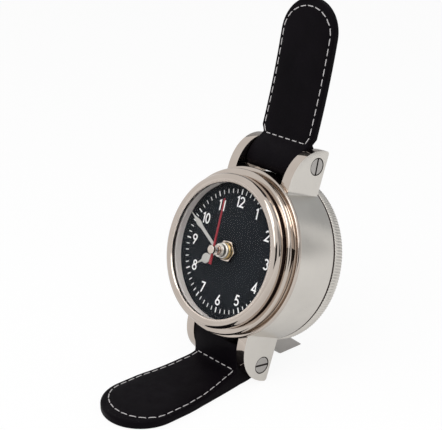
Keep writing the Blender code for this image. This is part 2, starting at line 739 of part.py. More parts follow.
def washers(head):
    """The rubber washer behind the dial and the brass one in front of the nut."""
    back = RUBBER_FRONT + WASHER_THICKNESS
    outline = ring_outline(CENTRE_HOLE, RUBBER_RADIUS, RUBBER_FRONT, back)
    turned("rubber_washer", outline, head, RUBBER, SMALL_SEGMENTS)
    back = -NUT_THICKNESS - 2.0 * FIT
    outline = ring_outline(CENTRE_HOLE, BRASS_RADIUS, back - BRASS_THICKNESS, back)
    turned("brass_washer", outline, head, BRASS, 2 * SMALL_SEGMENTS)


def hex_nut(head):
    """The half inch nut on the bushing."""
    corner = 0.5 * NUT_ACROSS_FLATS / math.cos(math.pi / 6.0)
    outline = []
    for step in range(6):
        angle = NUT_TURN + math.radians(60.0 * step)
        outline.append((corner * math.cos(angle), corner * math.sin(angle)))
    back = -FIT
    item = plate("hex_nut", outline, back - NUT_THICKNESS, back, "Y", head, BRASS)
    ends = (back - NUT_THICKNESS - OVERRUN, back + OVERRUN)
    bore(item, CENTRE_HOLE, *ends, (0.0, 0.0), "Y", head)
    return item


def side_frame(name, head, across, depth, up):
    """An empty whose turning axis lies along X."""
    frame = bpy.data.objects.new(name, None)
    bpy.context.collection.objects.link(frame)
    frame.parent = head
    frame.location = (across, depth, up)
    frame.rotation_euler = (0.0, 0.0, 0.5 * math.pi)
    return frame


def battery(head):
    """The cell in its bay, with the two contact plates at its ends."""
    depth = ROOM_FRONT + BATTERY_RADIUS + FIT
    up = 0.5 * (BAY_TOP - ROOM_HALF)
    frame = side_frame("battery_axis", head, 0.5 * BATTERY_LENGTH, depth, up)
    outline = [
        (0.0, 0.0),
        (BATTERY_NUB_RADIUS, 0.0),
        (BATTERY_NUB_RADIUS, BATTERY_NUB_LENGTH),
        (BATTERY_RADIUS, BATTERY_NUB_LENGTH),
        (BATTERY_RADIUS, BATTERY_LENGTH),
        (0.0, BATTERY_LENGTH),
    ]
    turned("battery", outline, frame, BATTERY_LABEL, SMALL_SEGMENTS)
    half = 0.5 * CONTACT_SIZE
    inner = 0.5 * BATTERY_LENGTH + CONTACT_GAP
    for name, across in (("battery_contact_left", -1), ("battery_contact_right", 1)):
        start, end = sorted((across * inner, across * (inner + CONTACT_THICKNESS)))
        block(name, (start, depth - half, up - half), (end, depth + half, up + half), head, STEEL)


def coil_bobbin(head):
    """The motor coil on its spool."""
    depth = ROOM_FRONT + COIL_RADIUS + FIT
    frame = side_frame("coil_axis", head, COIL_END, depth, COIL_UP)
    core = COIL_CORE_SHARE * COIL_RADIUS
    outline = [
        (0.0, 0.0),
        (COIL_RADIUS, 0.0),
        (COIL_RADIUS, COIL_FLANGE),
        (core, COIL_FLANGE),
        (core, COIL_LENGTH - COIL_FLANGE),
        (COIL_RADIUS, COIL_LENGTH - COIL_FLANGE),
        (COIL_RADIUS, COIL_LENGTH),
        (0.0, COIL_LENGTH),
    ]
    return turned("coil_bobbin", outline, frame, COPPER, SMALL_SEGMENTS)


def circuit_board(head):
    """The small board beside the coil."""
    front = ROOM_FRONT + FIT
    low = (BOARD_LEFT, front, BOARD_HIGH - BOARD_WIDTH)
    high = (BOARD_LEFT + BOARD_LENGTH, front + BOARD_THICKNESS, BOARD_HIGH)
    return block("circuit_board", low, high, head, BOARD_GREEN)


def toothed_wheel(name, radius, front, tube, tube_front, head):
    """A wheel on its tube or arbor; a solid arbor has a tube bore of zero."""
    tube_radius, tube_bore = tube
    back = front + WHEEL_THICKNESS
    outline = [
        (tube_radius, front),
        (radius, front, TOOTH_DEPTH),
        (radius, back, TOOTH_DEPTH),
    ]
    if tube_bore:
        outline = [(tube_bore, tube_front), (tube_radius, tube_front), *outline, (tube_bore, back)]
    else:
        outline = [(0.0, tube_front), (tube_radius, tube_front), *outline, (0.0, back)]
    return turned(name, outline, head, STEEL, 2 * TOOTH_COUNT)


def wheels(head):
    """The three coaxial wheels that carry the hands."""
    hour_bore = HOUR_TUBE_RADIUS - TUBE_WALL
    minute_bore = ARBOR_RADIUS + FIT
    toothed_wheel("hour_wheel", HOUR_WHEEL_RADIUS, HOUR_WHEEL_FRONT, (HOUR_TUBE_RADIUS, hour_bore),
                  -HOUR_HAND_FRONT - HAND_THICKNESS, head)
    toothed_wheel("minute_wheel", MINUTE_WHEEL_RADIUS, MINUTE_WHEEL_FRONT,
                  (MINUTE_TUBE_RADIUS, minute_bore), -MINUTE_HAND_FRONT - HAND_THICKNESS, head)
    toothed_wheel("second_wheel", SECOND_WHEEL_RADIUS, SECOND_WHEEL_FRONT, (ARBOR_RADIUS, 0.0),
                  -SECOND_HAND_FRONT - 2.0 * FIT, head)


def set_knob(head):
    """The setting knob behind the movement, with its stem through the cover."""
    back = KNOB_FRONT + KNOB_THICKNESS
    outline = [
        (0.0, KNOB_STEM_FRONT),
        (KNOB_STEM_RADIUS, KNOB_STEM_FRONT),
        (KNOB_STEM_RADIUS, KNOB_FRONT),
        (KNOB_RADIUS, KNOB_FRONT, KNOB_GROOVE),
        (KNOB_RADIUS, back, KNOB_GROOVE),
        (0.0, back),
    ]
    return turned("set_knob", outline, head, WHITE_PLASTIC, 2 * KNOB_FLUTES)


def turn_point(across, up, angle):
    """Turn a point of the dial plane clockwise as seen from the front."""
    x = across * math.cos(angle) + up * math.sin(angle)
    z = up * math.cos(angle) - across * math.sin(angle)
    return x, z


def blade(name, shape_shares, length, width, front, angle, head, look):
    """A flat hand from its tail to its tip."""
    right = [(0.5 * width * half, share * length) for share, half in shape_shares]
    left = [(-across, up) for across, up in reversed(right)]
    outline = [turn_point(across, up, angle) for across, up in right + left]
    return plate(name, outline, -front, HAND_THICKNESS - front, "Y", head, look)


def hub(item, radius, front, thickness, tube_radius, head):
    """Fuse a hub disc to a hand and bore it for its tube."""
    outline = [(0.0, -front), (radius, -front), (radius, thickness - front), (0.0, thickness - front)]
    disc = turned(item.name + "_hub", outline, head, None, SMALL_SEGMENTS)
    combine(item, disc, "UNION")
    ends = (-front - OVERRUN, thickness - front + OVERRUN)
    bore(item, tube_radius + FIT, *ends, (0.0, 0.0), "Y", head)


def hands(head):
    """The hour, minute and second hands and the cap over their centre."""
    item = blade("hour_hand", HOUR_SHAPE_SHARES, HOUR_HAND_LENGTH, HOUR_HAND_WIDTH,
                 HOUR_HAND_FRONT, HOUR_ANGLE, head, HAND_WHITE)
    front = BUSHING_END + FIT + HOUR_HUB_THICKNESS
    hub(item, HOUR_HUB_RADIUS, front, HOUR_HUB_THICKNESS, HOUR_TUBE_RADIUS, head)
    item = blade("minute_hand", MINUTE_SHAPE_SHARES, MINUTE_HAND_LENGTH, MINUTE_HAND_WIDTH,
                 MINUTE_HAND_FRONT, MINUTE_ANGLE, head, HAND_WHITE)
    front = MINUTE_HAND_FRONT + HAND_THICKNESS
    hub(item, MINUTE_HUB_RADIUS, front, MINUTE_HUB_THICKNESS, MINUTE_TUBE_RADIUS, head)
    item = blade("second_hand", SECOND_SHAPE_SHARES, SECOND_HAND_LENGTH, SECOND_HAND_WIDTH,
                 SECOND_HAND_FRONT, 0.0, head, HAND_RED)
    hub(item, SECOND_HUB_RADIUS, SECOND_HAND_FRONT, HAND_THICKNESS, ARBOR_RADIUS, head)
    second_cap(head)


def second_cap(head):
    """The bright cap pressed over the end of the seconds arbor."""
    back = SECOND_HAND_FRONT + FIT
    front = back + CAP_THICKNESS
    socket = back + CAP_SOCKET_SHARE * CAP_THICKNESS
    socket_radius = ARBOR_RADIUS + FIT
    outline = [
        (0.0, -front),
        (CAP_RADIUS, -front),
        (CAP_RADIUS, -back),
        (socket_radius, -back),
        (socket_radius, -socket),
        (0.0, -socket),
    ]
    return turned("second_cap", outline, head, STEEL, SMALL_SEGMENTS)


def back_cap(head):
    """The coin-edged cap with a spigot that presses into the drum."""
    inner = NECK_RADIUS - SPIGOT_WALL
    floor = CAP_BACK - CAP_WALL
    tip = DRUM_RADIUS - CAP_CHAMFER
    outline = [
        (0.0, CAP_BACK),
        (tip, CAP_BACK, COIN_DEPTH),
        (DRUM_RADIUS, CAP_BACK - CAP_CHAMFER, COIN_DEPTH),
        (DRUM_RADIUS, CAP_FRONT + CAP_CHAMFER, COIN_DEPTH),
        (tip, CAP_FRONT, COIN_DEPTH),
        (NECK_RADIUS, CAP_FRONT),
        (NECK_RADIUS, CAP_FRONT - SPIGOT_LENGTH),
        (inner, CAP_FRONT - SPIGOT_LENGTH),
        (inner, floor),
        (0.0, floor),
    ]
    item = turned("back_cap", outline, head, POLISHED, 2 * COIN_FLUTES)
    for across in (-1, 1):
        centre = (across * FOOT_SCREW_SPREAD, FOOT_SCREW_UP)
        ends = (floor - OVERRUN, CAP_BACK + OVERRUN)
        bore(item, FOOT_SCREW_RADIUS + FIT, *ends, centre, "Y", head)
    return item


def cap_gasket(head):
    """The dark seal between the drum's end and the cap."""
    front = DRUM_BACK + FIT
    outline = ring_outline(BORE, RIM_GASKET_RADIUS, front, front + RIM_GASKET_THICKNESS)
    return turned("cap_gasket", outline, head, RUBBER)


def rear_foot(head, stand):
    """The plated wedge that props the clock from behind."""
    top = head_to_stand(FOOT_TOP_UP, FOOT_FACE)
    low = head_to_stand(FOOT_LOW_UP, FOOT_FACE)
    toe = low[0] + FOOT_KICK
    toes = ((toe, -DIAL_HEIGHT), (toe + FOOT_SOLE, -DIAL_HEIGHT))
    outline = (low, *toes, top)
    item = plate("rear_foot", outline, -FOOT_HALF_WIDTH, FOOT_HALF_WIDTH, "X", stand, POLISHED)
    hole_end = FOOT_FACE + FOOT_SCREW_DEPTH
    for across in (-1, 1):
        centre = (across * FOOT_SCREW_SPREAD, FOOT_SCREW_UP)
        bore(item, FOOT_SCREW_RADIUS + FIT, CAP_BACK - OVERRUN, hole_end, centre, "Y", head)
    bevel = item.modifiers.new("edge", "BEVEL")
    bevel.width = FOOT_CHAMFER
    bevel.segments = 1
    bevel.limit_method = "NONE"
    return item


def foot_screw(name, across, head):
    """A small screw from inside the cap into the foot."""
    frame = bpy.data.objects.new(name + "_axis", None)
    bpy.context.collection.objects.link(frame)
    frame.parent = head
    frame.location = (across * FOOT_SCREW_SPREAD, 0.0, FOOT_SCREW_UP)
    seat = CAP_BACK - CAP_WALL - FIT
    end = FOOT_FACE + FOOT_SCREW_DEPTH - FIT
    outline = [
        (0.0, seat - FOOT_HEAD_THICKNESS),
        (FOOT_HEAD_RADIUS, seat - FOOT_HEAD_THICKNESS),
        (FOOT_HEAD_RADIUS, seat),
        (FOOT_SCREW_RADIUS, seat),
        (FOOT_SCREW_RADIUS, end),
        (0.0, end),
    ]
    return turned(name, outline, frame, STEEL, SMALL_SEGMENTS)


def build():
    """Make the whole clock."""
    clear_scene()
    tip_y, _, tip_lean = free_path(FREE_LENGTH)
    rear_reach = tip_y + STRAP_THICKNESS * math.cos(tip_lean)
    dial_centre = (0.0, 0.5 * (TAIL_LENGTH - rear_reach), DIAL_HEIGHT)
    head = add_empty("head_frame", dial_centre, -LEAN)
    stand = add_empty("stand_frame", dial_centre, 0.0)
    for make in (case_drum, bezel_ring, glass_lens, glass_gasket, dial_surround, dial_plate):
        make(head)
    for level, side in (("upper", 1), ("lower", -1)):
        for hand, across in (("left", -1), ("right", 1)):
            lug(f"lug_{level}_{hand}", across, side, head)
            lug_screw(f"lug_screw_{level}_{hand}", across, side, head)
        strap_bar(f"strap_bar_{level}", side, head)
    strap("strap_upper", upper_stations(), 1, stand)
    strap("strap_lower", lower_stations(), -1, stand)
    for make in (movement_case, movement_cover, threaded_bushing, washers, hex_nut, battery,
                 coil_bobbin, circuit_board, wheels, set_knob, hands, back_cap, cap_gasket):
        make(head)
    rear_foot(head, stand)
    for hand, across in (("left", -1), ("right", 1)):
        foot_screw(f"foot_screw_{hand}", across, head)


build()
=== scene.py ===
"""Looks of the watch-shaped desk clock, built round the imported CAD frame.

Lengths are metres. The head frame sits on the dial: its X is the clock's right, its Y is depth,
which runs back through the case, and its Z points to twelve o'clock. The stand frame has the same
origin and stands upright. Turned outlines hold (radius, depth) points.
"""
import bisect
import json
import math

import bmesh
import bpy
from mathutils import Matrix, Vector


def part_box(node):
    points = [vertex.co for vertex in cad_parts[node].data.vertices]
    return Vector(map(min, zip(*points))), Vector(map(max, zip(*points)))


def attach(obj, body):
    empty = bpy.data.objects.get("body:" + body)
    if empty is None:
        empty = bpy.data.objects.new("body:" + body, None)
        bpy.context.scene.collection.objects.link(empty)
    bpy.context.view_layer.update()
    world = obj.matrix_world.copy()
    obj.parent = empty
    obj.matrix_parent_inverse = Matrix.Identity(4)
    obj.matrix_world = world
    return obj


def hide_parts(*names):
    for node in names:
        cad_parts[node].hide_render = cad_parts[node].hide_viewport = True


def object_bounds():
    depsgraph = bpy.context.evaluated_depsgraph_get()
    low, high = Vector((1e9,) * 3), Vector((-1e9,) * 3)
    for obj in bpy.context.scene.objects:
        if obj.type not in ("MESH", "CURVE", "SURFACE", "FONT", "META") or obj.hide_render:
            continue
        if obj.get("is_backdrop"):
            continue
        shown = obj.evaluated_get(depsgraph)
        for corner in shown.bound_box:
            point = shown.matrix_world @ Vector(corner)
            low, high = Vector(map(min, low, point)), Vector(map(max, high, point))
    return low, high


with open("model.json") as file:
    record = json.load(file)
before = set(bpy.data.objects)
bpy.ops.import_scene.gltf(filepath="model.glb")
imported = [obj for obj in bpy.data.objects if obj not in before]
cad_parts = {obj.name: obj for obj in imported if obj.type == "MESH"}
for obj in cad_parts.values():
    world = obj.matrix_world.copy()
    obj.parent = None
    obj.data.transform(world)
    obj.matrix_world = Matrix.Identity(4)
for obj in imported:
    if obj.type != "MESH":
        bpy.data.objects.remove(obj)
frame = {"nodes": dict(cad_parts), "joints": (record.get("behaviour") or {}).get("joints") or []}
CAD_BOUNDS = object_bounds()

SPIN = next(joint for joint in frame["joints"] if joint["name"] == "minute_spin")
DIAL = Vector(SPIN["pos_m"])
DIAL_HEIGHT = DIAL.z
LEAN = math.atan2(-SPIN["axis"][2], SPIN["axis"][1])
STAND = Matrix.Translation(DIAL)
HEAD = STAND @ Matrix.Rotation(-LEAN, 4, "X")

# The camera, placed from the dial
CAMERA_OFFSET = Vector((0.4769, -0.4269, 0.2757))
CAMERA_DIRECTION = Vector((-0.69852, 0.61539, -0.36520))
CAMERA_LENS = 89.6
CAMERA_SENSOR = 36.0
CAMERA_NEAR = 0.01

# Driving sizes of the case
DRUM_RADIUS = 0.0540
REAR_RADIUS = 0.0552
DRUM_BORE = 0.0515
DRUM_FRONT = 0.0040
DRUM_BACK = 0.0370
NECK_RADIUS = 0.0512
CROWN_RADIUS = 0.0492
DIAL_RADIUS = 0.0447
CAP_FRONT = 0.0380
CAP_BACK = 0.0460

# Driving sizes of the lugs and straps
LUG_INNER = 0.0210
LUG_OUTER = 0.0280
LUG_FRONT = 0.0074
LUG_BACK = 0.0355
LUG_REACH = 0.0768
BAR_UP = 0.0660
BAR_DEPTH = 0.0277
ROOT_HALF = 0.0206
FREE_HALF = 0.0229
TAIL_HALF = 0.0266
STRAP_THICKNESS = 0.0054
FREE_LENGTH = 0.0892
TAIL_LENGTH = 0.0984

# Mesh fineness
RING_STEPS = 256
MIDDLE_STEPS = 96
SMALL_STEPS = 64
CURVE_STEPS = 6


# Mesh helpers

def arc(centre, half_width, half_height, start, end, steps=16):
    """Points of an elliptic arc between two angles in degrees."""
    points = []
    for step in range(steps + 1):
        angle = math.radians(start + (end - start) * step / steps)
        points.append((centre[0] + half_width * math.cos(angle),
                       centre[1] + half_height * math.sin(angle)))
    return points


def rounded(points, radius, steps=4, closed=True):
    """Round the corners of a flat outline; nearly straight ones and open ends stay."""
    straight = math.radians(160)
    most_share = 0.45
    result = []
    count = len(points)
    for index, point in enumerate(points):
        here = Vector(point)
        before = Vector(points[index - 1]) - here
        after = Vector(points[(index + 1) % count]) - here
        is_end = not closed and index in (0, count - 1)
        if is_end or before.length * after.length == 0 or before.angle(after) > straight:
            result.append(tuple(here))
            continue
        cut = min(radius / math.tan(before.angle(after) / 2), most_share * before.length,
                  most_share * after.length)
        start = here + before.normalized() * cut
        end = here + after.normalized() * cut
        for step in range(steps + 1):
            share = step / steps
            bend = start.lerp(here, share).lerp(here.lerp(end, share), share)
            result.append(tuple(bend))
    return result


def smooth_line(points, steps):
    """Catmull-Rom points through a line of flat points."""
    ends = [points[0], *points, points[-1]]
    result = []
    for index in range(len(points) - 1):
        p0, p1, p2, p3 = (Vector(point) for point in ends[index:index + 4])
        for step in range(steps):
            t = step / steps
            spot = 0.5 * ((2 * p1) + (p2 - p0) * t + (2 * p0 - 5 * p1 + 4 * p2 - p3) * t * t
                          + (3 * p1 - p0 - 3 * p2 + p3) * t * t * t)
            result.append(tuple(spot))
    return result + [tuple(points[-1])]


def turn_point(across, up, angle):
    """Turn a point of the dial plane clockwise as seen from the front."""
    return (across * math.cos(angle) + up * math.sin(angle),
            up * math.cos(angle) - across * math.sin(angle))


def band(inner, outer, start, end):
    """The outline of a plain ring, or of a disc where the inner radius is zero."""
    return [(inner, start), (outer, start), (outer, end), (inner, end)]


def bridge(shape, rings, loop=False):
    """Join rings of points with faces; a ring of one point closes an end."""
    pairs = list(zip(rings, rings[1:]))
    if loop:
        pairs.append((rings[-1], rings[0]))
    count = max(len(ring) for ring in rings)
    for first, second in pairs:
        for step in range(count):
            after = (step + 1) % count
            corners = [first[step % len(first)], first[after % len(first)],
                       second[after % len(second)], second[step % len(second)]]
            shape.faces.new(list(dict.fromkeys(corners)))


def lathe(outline, steps=RING_STEPS, flutes=0):
    """Turn (radius, depth) points about the head's Y; a third value is a flute's depth."""
    shape = bmesh.new()
    rings = []
    for radius, depth, *flute in outline:
        ring = []
        for step in range(steps if radius > 0 else 1):
            angle = math.tau * step / steps
            cut = flute[0] * (0.5 - 0.5 * math.cos(flutes * angle)) if flute else 0.0
            reach = radius - cut
            ring.append(shape.verts.new((reach * math.sin(angle), depth, reach * math.cos(angle))))
        rings.append(ring)
    bridge(shape, rings, len(rings[0]) > 1)
    return shape


def prism(outline, start, end, along):
    """Extrude a flat outline; along X it holds (y, z) points, along Y (x, z) points."""
    shape = bmesh.new()
    sides = []
    for offset in (start, end):
        places = [(offset, a, b) if along == "X" else (a, offset, b) for a, b in outline]
        sides.append([shape.verts.new(place) for place in places])
    shape.faces.new(sides[0])
    shape.faces.new(reversed(sides[1]))
    bridge(shape, sides)
    return shape


def flat_card(half_width, half_height):
    """One rectangle that faces up."""
    shape = bmesh.new()
    corners = ((-half_width, -half_height), (half_width, -half_height), (half_width, half_height),
               (-half_width, half_height))
    shape.faces.new([shape.verts.new((x, y, 0.0)) for x, y in corners])
    return shape


def link(name, data):
    """Put new data into the scene as an object."""
    item = bpy.data.objects.new(name, data)
    bpy.context.scene.collection.objects.link(item)
    return item


def raw_object(name, shape, matrix=HEAD):
    """Turn a bmesh into an object placed by a matrix."""
    bmesh.ops.recalc_face_normals(shape, faces=shape.faces)
    mesh = bpy.data.meshes.new(name)
    shape.to_mesh(mesh)
    shape.free()
    item = link(name, mesh)
    item.matrix_world = matrix
    return item


def boolean(item, shape, matrix=HEAD, operation="DIFFERENCE"):
    """Cut an object with a bmesh, or keep what they share."""
    other = raw_object("cutter", shape, matrix)
    change = item.modifiers.new("cut", "BOOLEAN")
    change.operation = operation
    change.solver = "EXACT"
    change.object = other
    bpy.context.view_layer.update()
    graph = bpy.context.evaluated_depsgraph_get()
    mesh = bpy.data.meshes.new_from_object(item.evaluated_get(graph))
    item.modifiers.clear()
    item.data = mesh
    bpy.data.objects.remove(other, do_unlink=True)


def bevel(item, width, segments, angle, reach=0.0):
    """Round an object's sharp edges that lie at least a distance from the head's axis."""
    shape = bmesh.new()
    shape.from_mesh(item.data)
    edges = []
    for edge in shape.edges:
        middle = (edge.verts[0].co + edge.verts[1].co) / 2
        sharp = edge.is_manifold and edge.calc_face_angle() > math.radians(angle)
        if sharp and math.hypot(middle.x, middle.z) >= reach:
            edges.append(edge)
    bmesh.ops.bevel(shape, geom=edges, offset=width, offset_type="OFFSET", segments=segments,
                    profile=0.5, affect="EDGES", clamp_overlap=True)
    shape.to_mesh(item.data)
    shape.free()


def settle(item, material, slot, replaced=(), body="case", sharp=32.0):
    """Shade, paint and attach a finished piece."""
    for face in item.data.polygons:
        face.use_smooth = True
    item.data.set_sharp_from_angle(angle=math.radians(sharp))
    item.data.materials.clear()
    item.data.materials.append(material)
    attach(item, body)
    if replaced:
        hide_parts(*replaced)
    return item


def piece(name, shape, material, slot, replaced=(), body="case", sharp=32.0, matrix=HEAD):
    """Make and attach a piece in one go."""
    return settle(raw_object(name, shape, matrix), material, slot, replaced, body, sharp)


def paint(item, material, is_chosen):
    """Give the faces that a test picks another material."""
    item.data.materials.append(material)
    index = len(item.data.materials) - 1
    for face in item.data.polygons:
        if is_chosen(face):
            face.material_index = index


def axis_distance(face):
    """How far a face's middle lies from its object's turning axis."""
    return math.hypot(face.center.x, face.center.z)


# Material helpers
EVEN = (1.0, 1.0, 1.0)
TURNED = (0.02, 1.0, 0.02)
WOUND = (1.0, 0.05, 0.05)
BROAD_SCALE = 60.0
EQUAL_SHARE = 0.5


def start_material(name):
    """A material with its tree and its Principled shader."""
    material = bpy.data.materials.new(name)
    material.use_nodes = True
    tree = material.node_tree
    return material, tree, tree.nodes["Principled BSDF"]


def feed(tree, node, inputs):
    """Fill a node's inputs with plain values or with other nodes' outputs."""
    for key, value in inputs.items():
        if isinstance(value, bpy.types.NodeSocket):
            tree.links.new(value, node.inputs[key])
        else:
            node.inputs[key].default_value = value


def add(tree, kind, output, inputs, **settings):
    """Add a shader node, and return one of its outputs."""
    node = tree.nodes.new("ShaderNode" + kind)
    for key, value in settings.items():
        setattr(node, key, value)
    feed(tree, node, inputs)
    return node.outputs[output]


def coordinates(tree, stretch=EVEN):
    """Object coordinates stretched by three factors."""
    source = add(tree, "TexCoord", "Object", {})
    return add(tree, "Mapping", "Vector", {"Vector": source, "Scale": stretch})


def noise(tree, vector, scale, detail=4.0):
    """A noise texture's factor."""
    return add(tree, "TexNoise", "Fac",
               {"Vector": vector, "Scale": scale, "Detail": detail, "Roughness": 0.55})


def spread(tree, value, low, high, start=0.3, end=0.7):
    """Map a factor's middle range to two new limits."""
    return add(tree, "MapRange", "Result", {"Value": value, "From Min": start, "From Max": end,
                                            "To Min": low, "To Max": high})


def shades(tree, factor, dark, light):
    """A colour between two, by a factor."""
    return add(tree, "Mix", "Result", {"Factor": spread(tree, factor, 0.0, 1.0),
                                       "A": (*dark, 1.0), "B": (*light, 1.0)}, data_type="RGBA")


def bump(tree, height, strength, distance):
    """A bump from a height."""
    return add(tree, "Bump", "Normal",
               {"Height": height, "Strength": strength, "Distance": distance})


def multiply_add(tree, value, factor, more, **settings):
    """A value times a factor, plus more."""
    return add(tree, "Math", "Value", {0: value, 1: factor, 2: more}, operation="MULTIPLY_ADD",
               **settings)


def seen_by(tree, kind):
    """One where a kind of ray meets the surface, and else zero."""
    return add(tree, "LightPath", f"Is {kind} Ray", {})


def mix_surface(tree, factor, first, second):
    """Mix two shaders by a factor as the material's surface."""
    mix = add(tree, "MixShader", "Shader", {"Fac": factor, 1: first, 2: second})
    feed(tree, tree.nodes["Material Output"], {"Surface": mix})


def surface(name, colours, metallic, roughness, grain, gloss=0.5):
    """A grained surface; its grain holds a stretch, a scale and a bump height."""
    material, tree, shader = start_material(name)
    stretch, scale, height = grain
    fine = noise(tree, coordinates(tree, stretch), scale)
    broad = noise(tree, coordinates(tree), BROAD_SCALE, 3.0)
    half = add(tree, "Math", "Value", {0: broad, 1: EQUAL_SHARE}, operation="MULTIPLY")
    wear = multiply_add(tree, fine, EQUAL_SHARE, half)
    feed(tree, shader, {
        "Base Color": shades(tree, broad, *colours),
        "Metallic": metallic,
        "Roughness": spread(tree, wear, *roughness),
        "Specular IOR Level": gloss,
        "Normal": bump(tree, fine, 1.0, height),
    })
    return material


def leather(name):
    """Fine-grained black leather with uneven pores and creases."""
    pore_scale, warp_scale, crease_scale, cloud_scale = 1500.0, 500.0, 160.0, 45.0
    warp_reach = 0.0006
    pore_height, crease_height = 0.00006, 0.00025
    pore_width = 0.25
    material, tree, shader = start_material(name)
    vector = coordinates(tree)
    warp = add(tree, "TexNoise", "Color", {"Vector": vector, "Scale": warp_scale})
    warped = add(tree, "VectorMath", "Vector", {0: warp, 1: (warp_reach,) * 3, 2: vector},
                 operation="MULTIPLY_ADD")
    cells = add(tree, "TexVoronoi", "Distance", {"Vector": warped, "Scale": pore_scale},
                feature="DISTANCE_TO_EDGE")
    creases = noise(tree, vector, crease_scale, 5.0)
    pores = spread(tree, cells, 0.0, 1.0, 0.0, pore_width)
    feed(tree, shader, {
        "Base Color": shades(tree, noise(tree, vector, cloud_scale, 3.0),
                             (0.0030, 0.0021, 0.0033), (0.0050, 0.0036, 0.0055)),
        "Roughness": spread(tree, creases, 0.40, 0.54),
        "Specular IOR Level": 0.045,
        "Normal": add(tree, "Bump", "Normal", {
            "Height": pores, "Strength": 0.45, "Distance": pore_height,
            "Normal": bump(tree, creases, 0.5, crease_height)}),
    })
    return material


def thread(name):
    """Twisted off-white thread."""
    twist_scale, fuzz_scale, twist_height = 900.0, 2500.0, 0.00012
    material, tree, shader = start_material(name)
    vector = coordinates(tree)
    twist = add(tree, "TexWave", "Fac", {"Vector": vector, "Scale": twist_scale,
                                         "Distortion": 1.5}, bands_direction="DIAGONAL")
    fuzz = noise(tree, vector, fuzz_scale)
    feed(tree, shader, {
        "Base Color": shades(tree, fuzz, (0.62, 0.60, 0.60), (0.78, 0.75, 0.75)),
        "Roughness": spread(tree, fuzz, 0.7, 0.9),
        "Normal": bump(tree, twist, 0.6, twist_height),
    })
    return material


def clear_glass(name):
    """Thin clear glass with a faint gloss and fine smudges; it casts no shadow."""
    smudge_scale = 120.0
    material, tree, shader = start_material(name)
    feed(tree, shader, {
        "Base Color": (1.0, 1.0, 1.0, 1.0),
        "Roughness": spread(tree, noise(tree, coordinates(tree), smudge_scale), 0.0, 0.02),
        "IOR": 1.0015,
        "Transmission Weight": 1.0,
        "Coat Weight": 0.05,
        "Coat Roughness": 0.01,
    })
    mix_surface(tree, seen_by(tree, "Shadow"), shader.outputs["BSDF"],
                add(tree, "BsdfTransparent", "BSDF", {}))
    return material


POLISHED = surface("polished_nickel", ((0.60, 0.525, 0.465), (0.65, 0.575, 0.515)), 1.0,
                   (0.02, 0.05), (TURNED, 9000.0, 2e-7))
SATIN = surface("satin_nickel", ((0.75, 0.715, 0.665), (0.80, 0.765, 0.71)), 1.0,
                (0.26, 0.34), (TURNED, 12000.0, 2e-6))
# Darker nickel for the lug screws and the foot: the plating's colour darkened as painted shade
SHADED_NICKEL = surface("nickel_with_painted_shade", ((0.45, 0.43, 0.41), (0.50, 0.48, 0.46)), 1.0,
                      (0.12, 0.22), (EVEN, 3000.0, 2e-6))
STEEL = surface("bright_steel", ((0.62, 0.61, 0.60), (0.70, 0.69, 0.68)), 1.0,
                (0.20, 0.32), (EVEN, 3000.0, 2e-6))
BRASS = surface("turned_brass", ((0.72, 0.52, 0.22), (0.80, 0.61, 0.30)), 1.0,
                (0.15, 0.28), (TURNED, 6000.0, 3e-6))
# Near-black steel: painted shade for the nut's recess, the lugs' counterbores and the screws' slots
SHADE_STEEL = surface("painted_shade_steel", ((0.035, 0.028, 0.026), (0.055, 0.045, 0.042)), 0.3,
                      (0.45, 0.60), (EVEN, 3000.0, 3e-6), 0.2)
PALE_WALL = surface("pale_wall", ((0.86, 0.80, 0.76), (0.90, 0.84, 0.80)), 0.10,
                    (0.42, 0.55), (EVEN, 2500.0, 4e-6))
DIAL_PAINT = surface("dial_paint", ((0.0100, 0.0118, 0.0144), (0.0118, 0.0140, 0.0172)), 0.0,
                     (0.50, 0.62), (EVEN, 4000.0, 1.5e-6), 0.04)
PRINT_WHITE = surface("print_white", ((0.74, 0.74, 0.74), (0.80, 0.80, 0.80)), 0.0,
                      (0.45, 0.60), (EVEN, 3500.0, 6e-6), 0.3)
HAND_WHITE = surface("hand_white", ((0.35, 0.345, 0.325), (0.40, 0.39, 0.37)), 0.15,
                     (0.34, 0.46), (EVEN, 3500.0, 4e-6), 0.3)
HAND_RED = surface("hand_red", ((0.22, 0.013, 0.021), (0.26, 0.017, 0.026)), 0.0,
                   (0.30, 0.42), (EVEN, 3500.0, 4e-6), 0.3)
RUBBER = surface("seal_rubber", ((0.020, 0.010, 0.009), (0.034, 0.016, 0.015)), 0.0,
                 (0.60, 0.80), (EVEN, 2500.0, 10e-6), 0.2)
PLASTIC = surface("movement_plastic", ((0.018, 0.018, 0.020), (0.026, 0.026, 0.028)), 0.0,
                  (0.38, 0.55), (EVEN, 1800.0, 12e-6))
KNOB_WHITE = surface("knob_white", ((0.66, 0.66, 0.64), (0.72, 0.72, 0.70)), 0.0,
                     (0.30, 0.45), (EVEN, 1800.0, 8e-6))
COPPER = surface("coil_copper", ((0.55, 0.22, 0.10), (0.70, 0.32, 0.16)), 1.0,
                 (0.28, 0.42), (WOUND, 7000.0, 30e-6))
BOARD = surface("board_resin", ((0.012, 0.10, 0.045), (0.020, 0.14, 0.060)), 0.0,
                (0.30, 0.50), (EVEN, 1500.0, 10e-6))
SLEEVE = surface("battery_sleeve", ((0.07, 0.08, 0.11), (0.10, 0.11, 0.15)), 0.4,
                 (0.25, 0.35), (EVEN, 1500.0, 4e-6))
LEATHER = leather("strap_leather")
THREAD = thread("strap_thread")
GLASS = clear_glass("clear_glass")


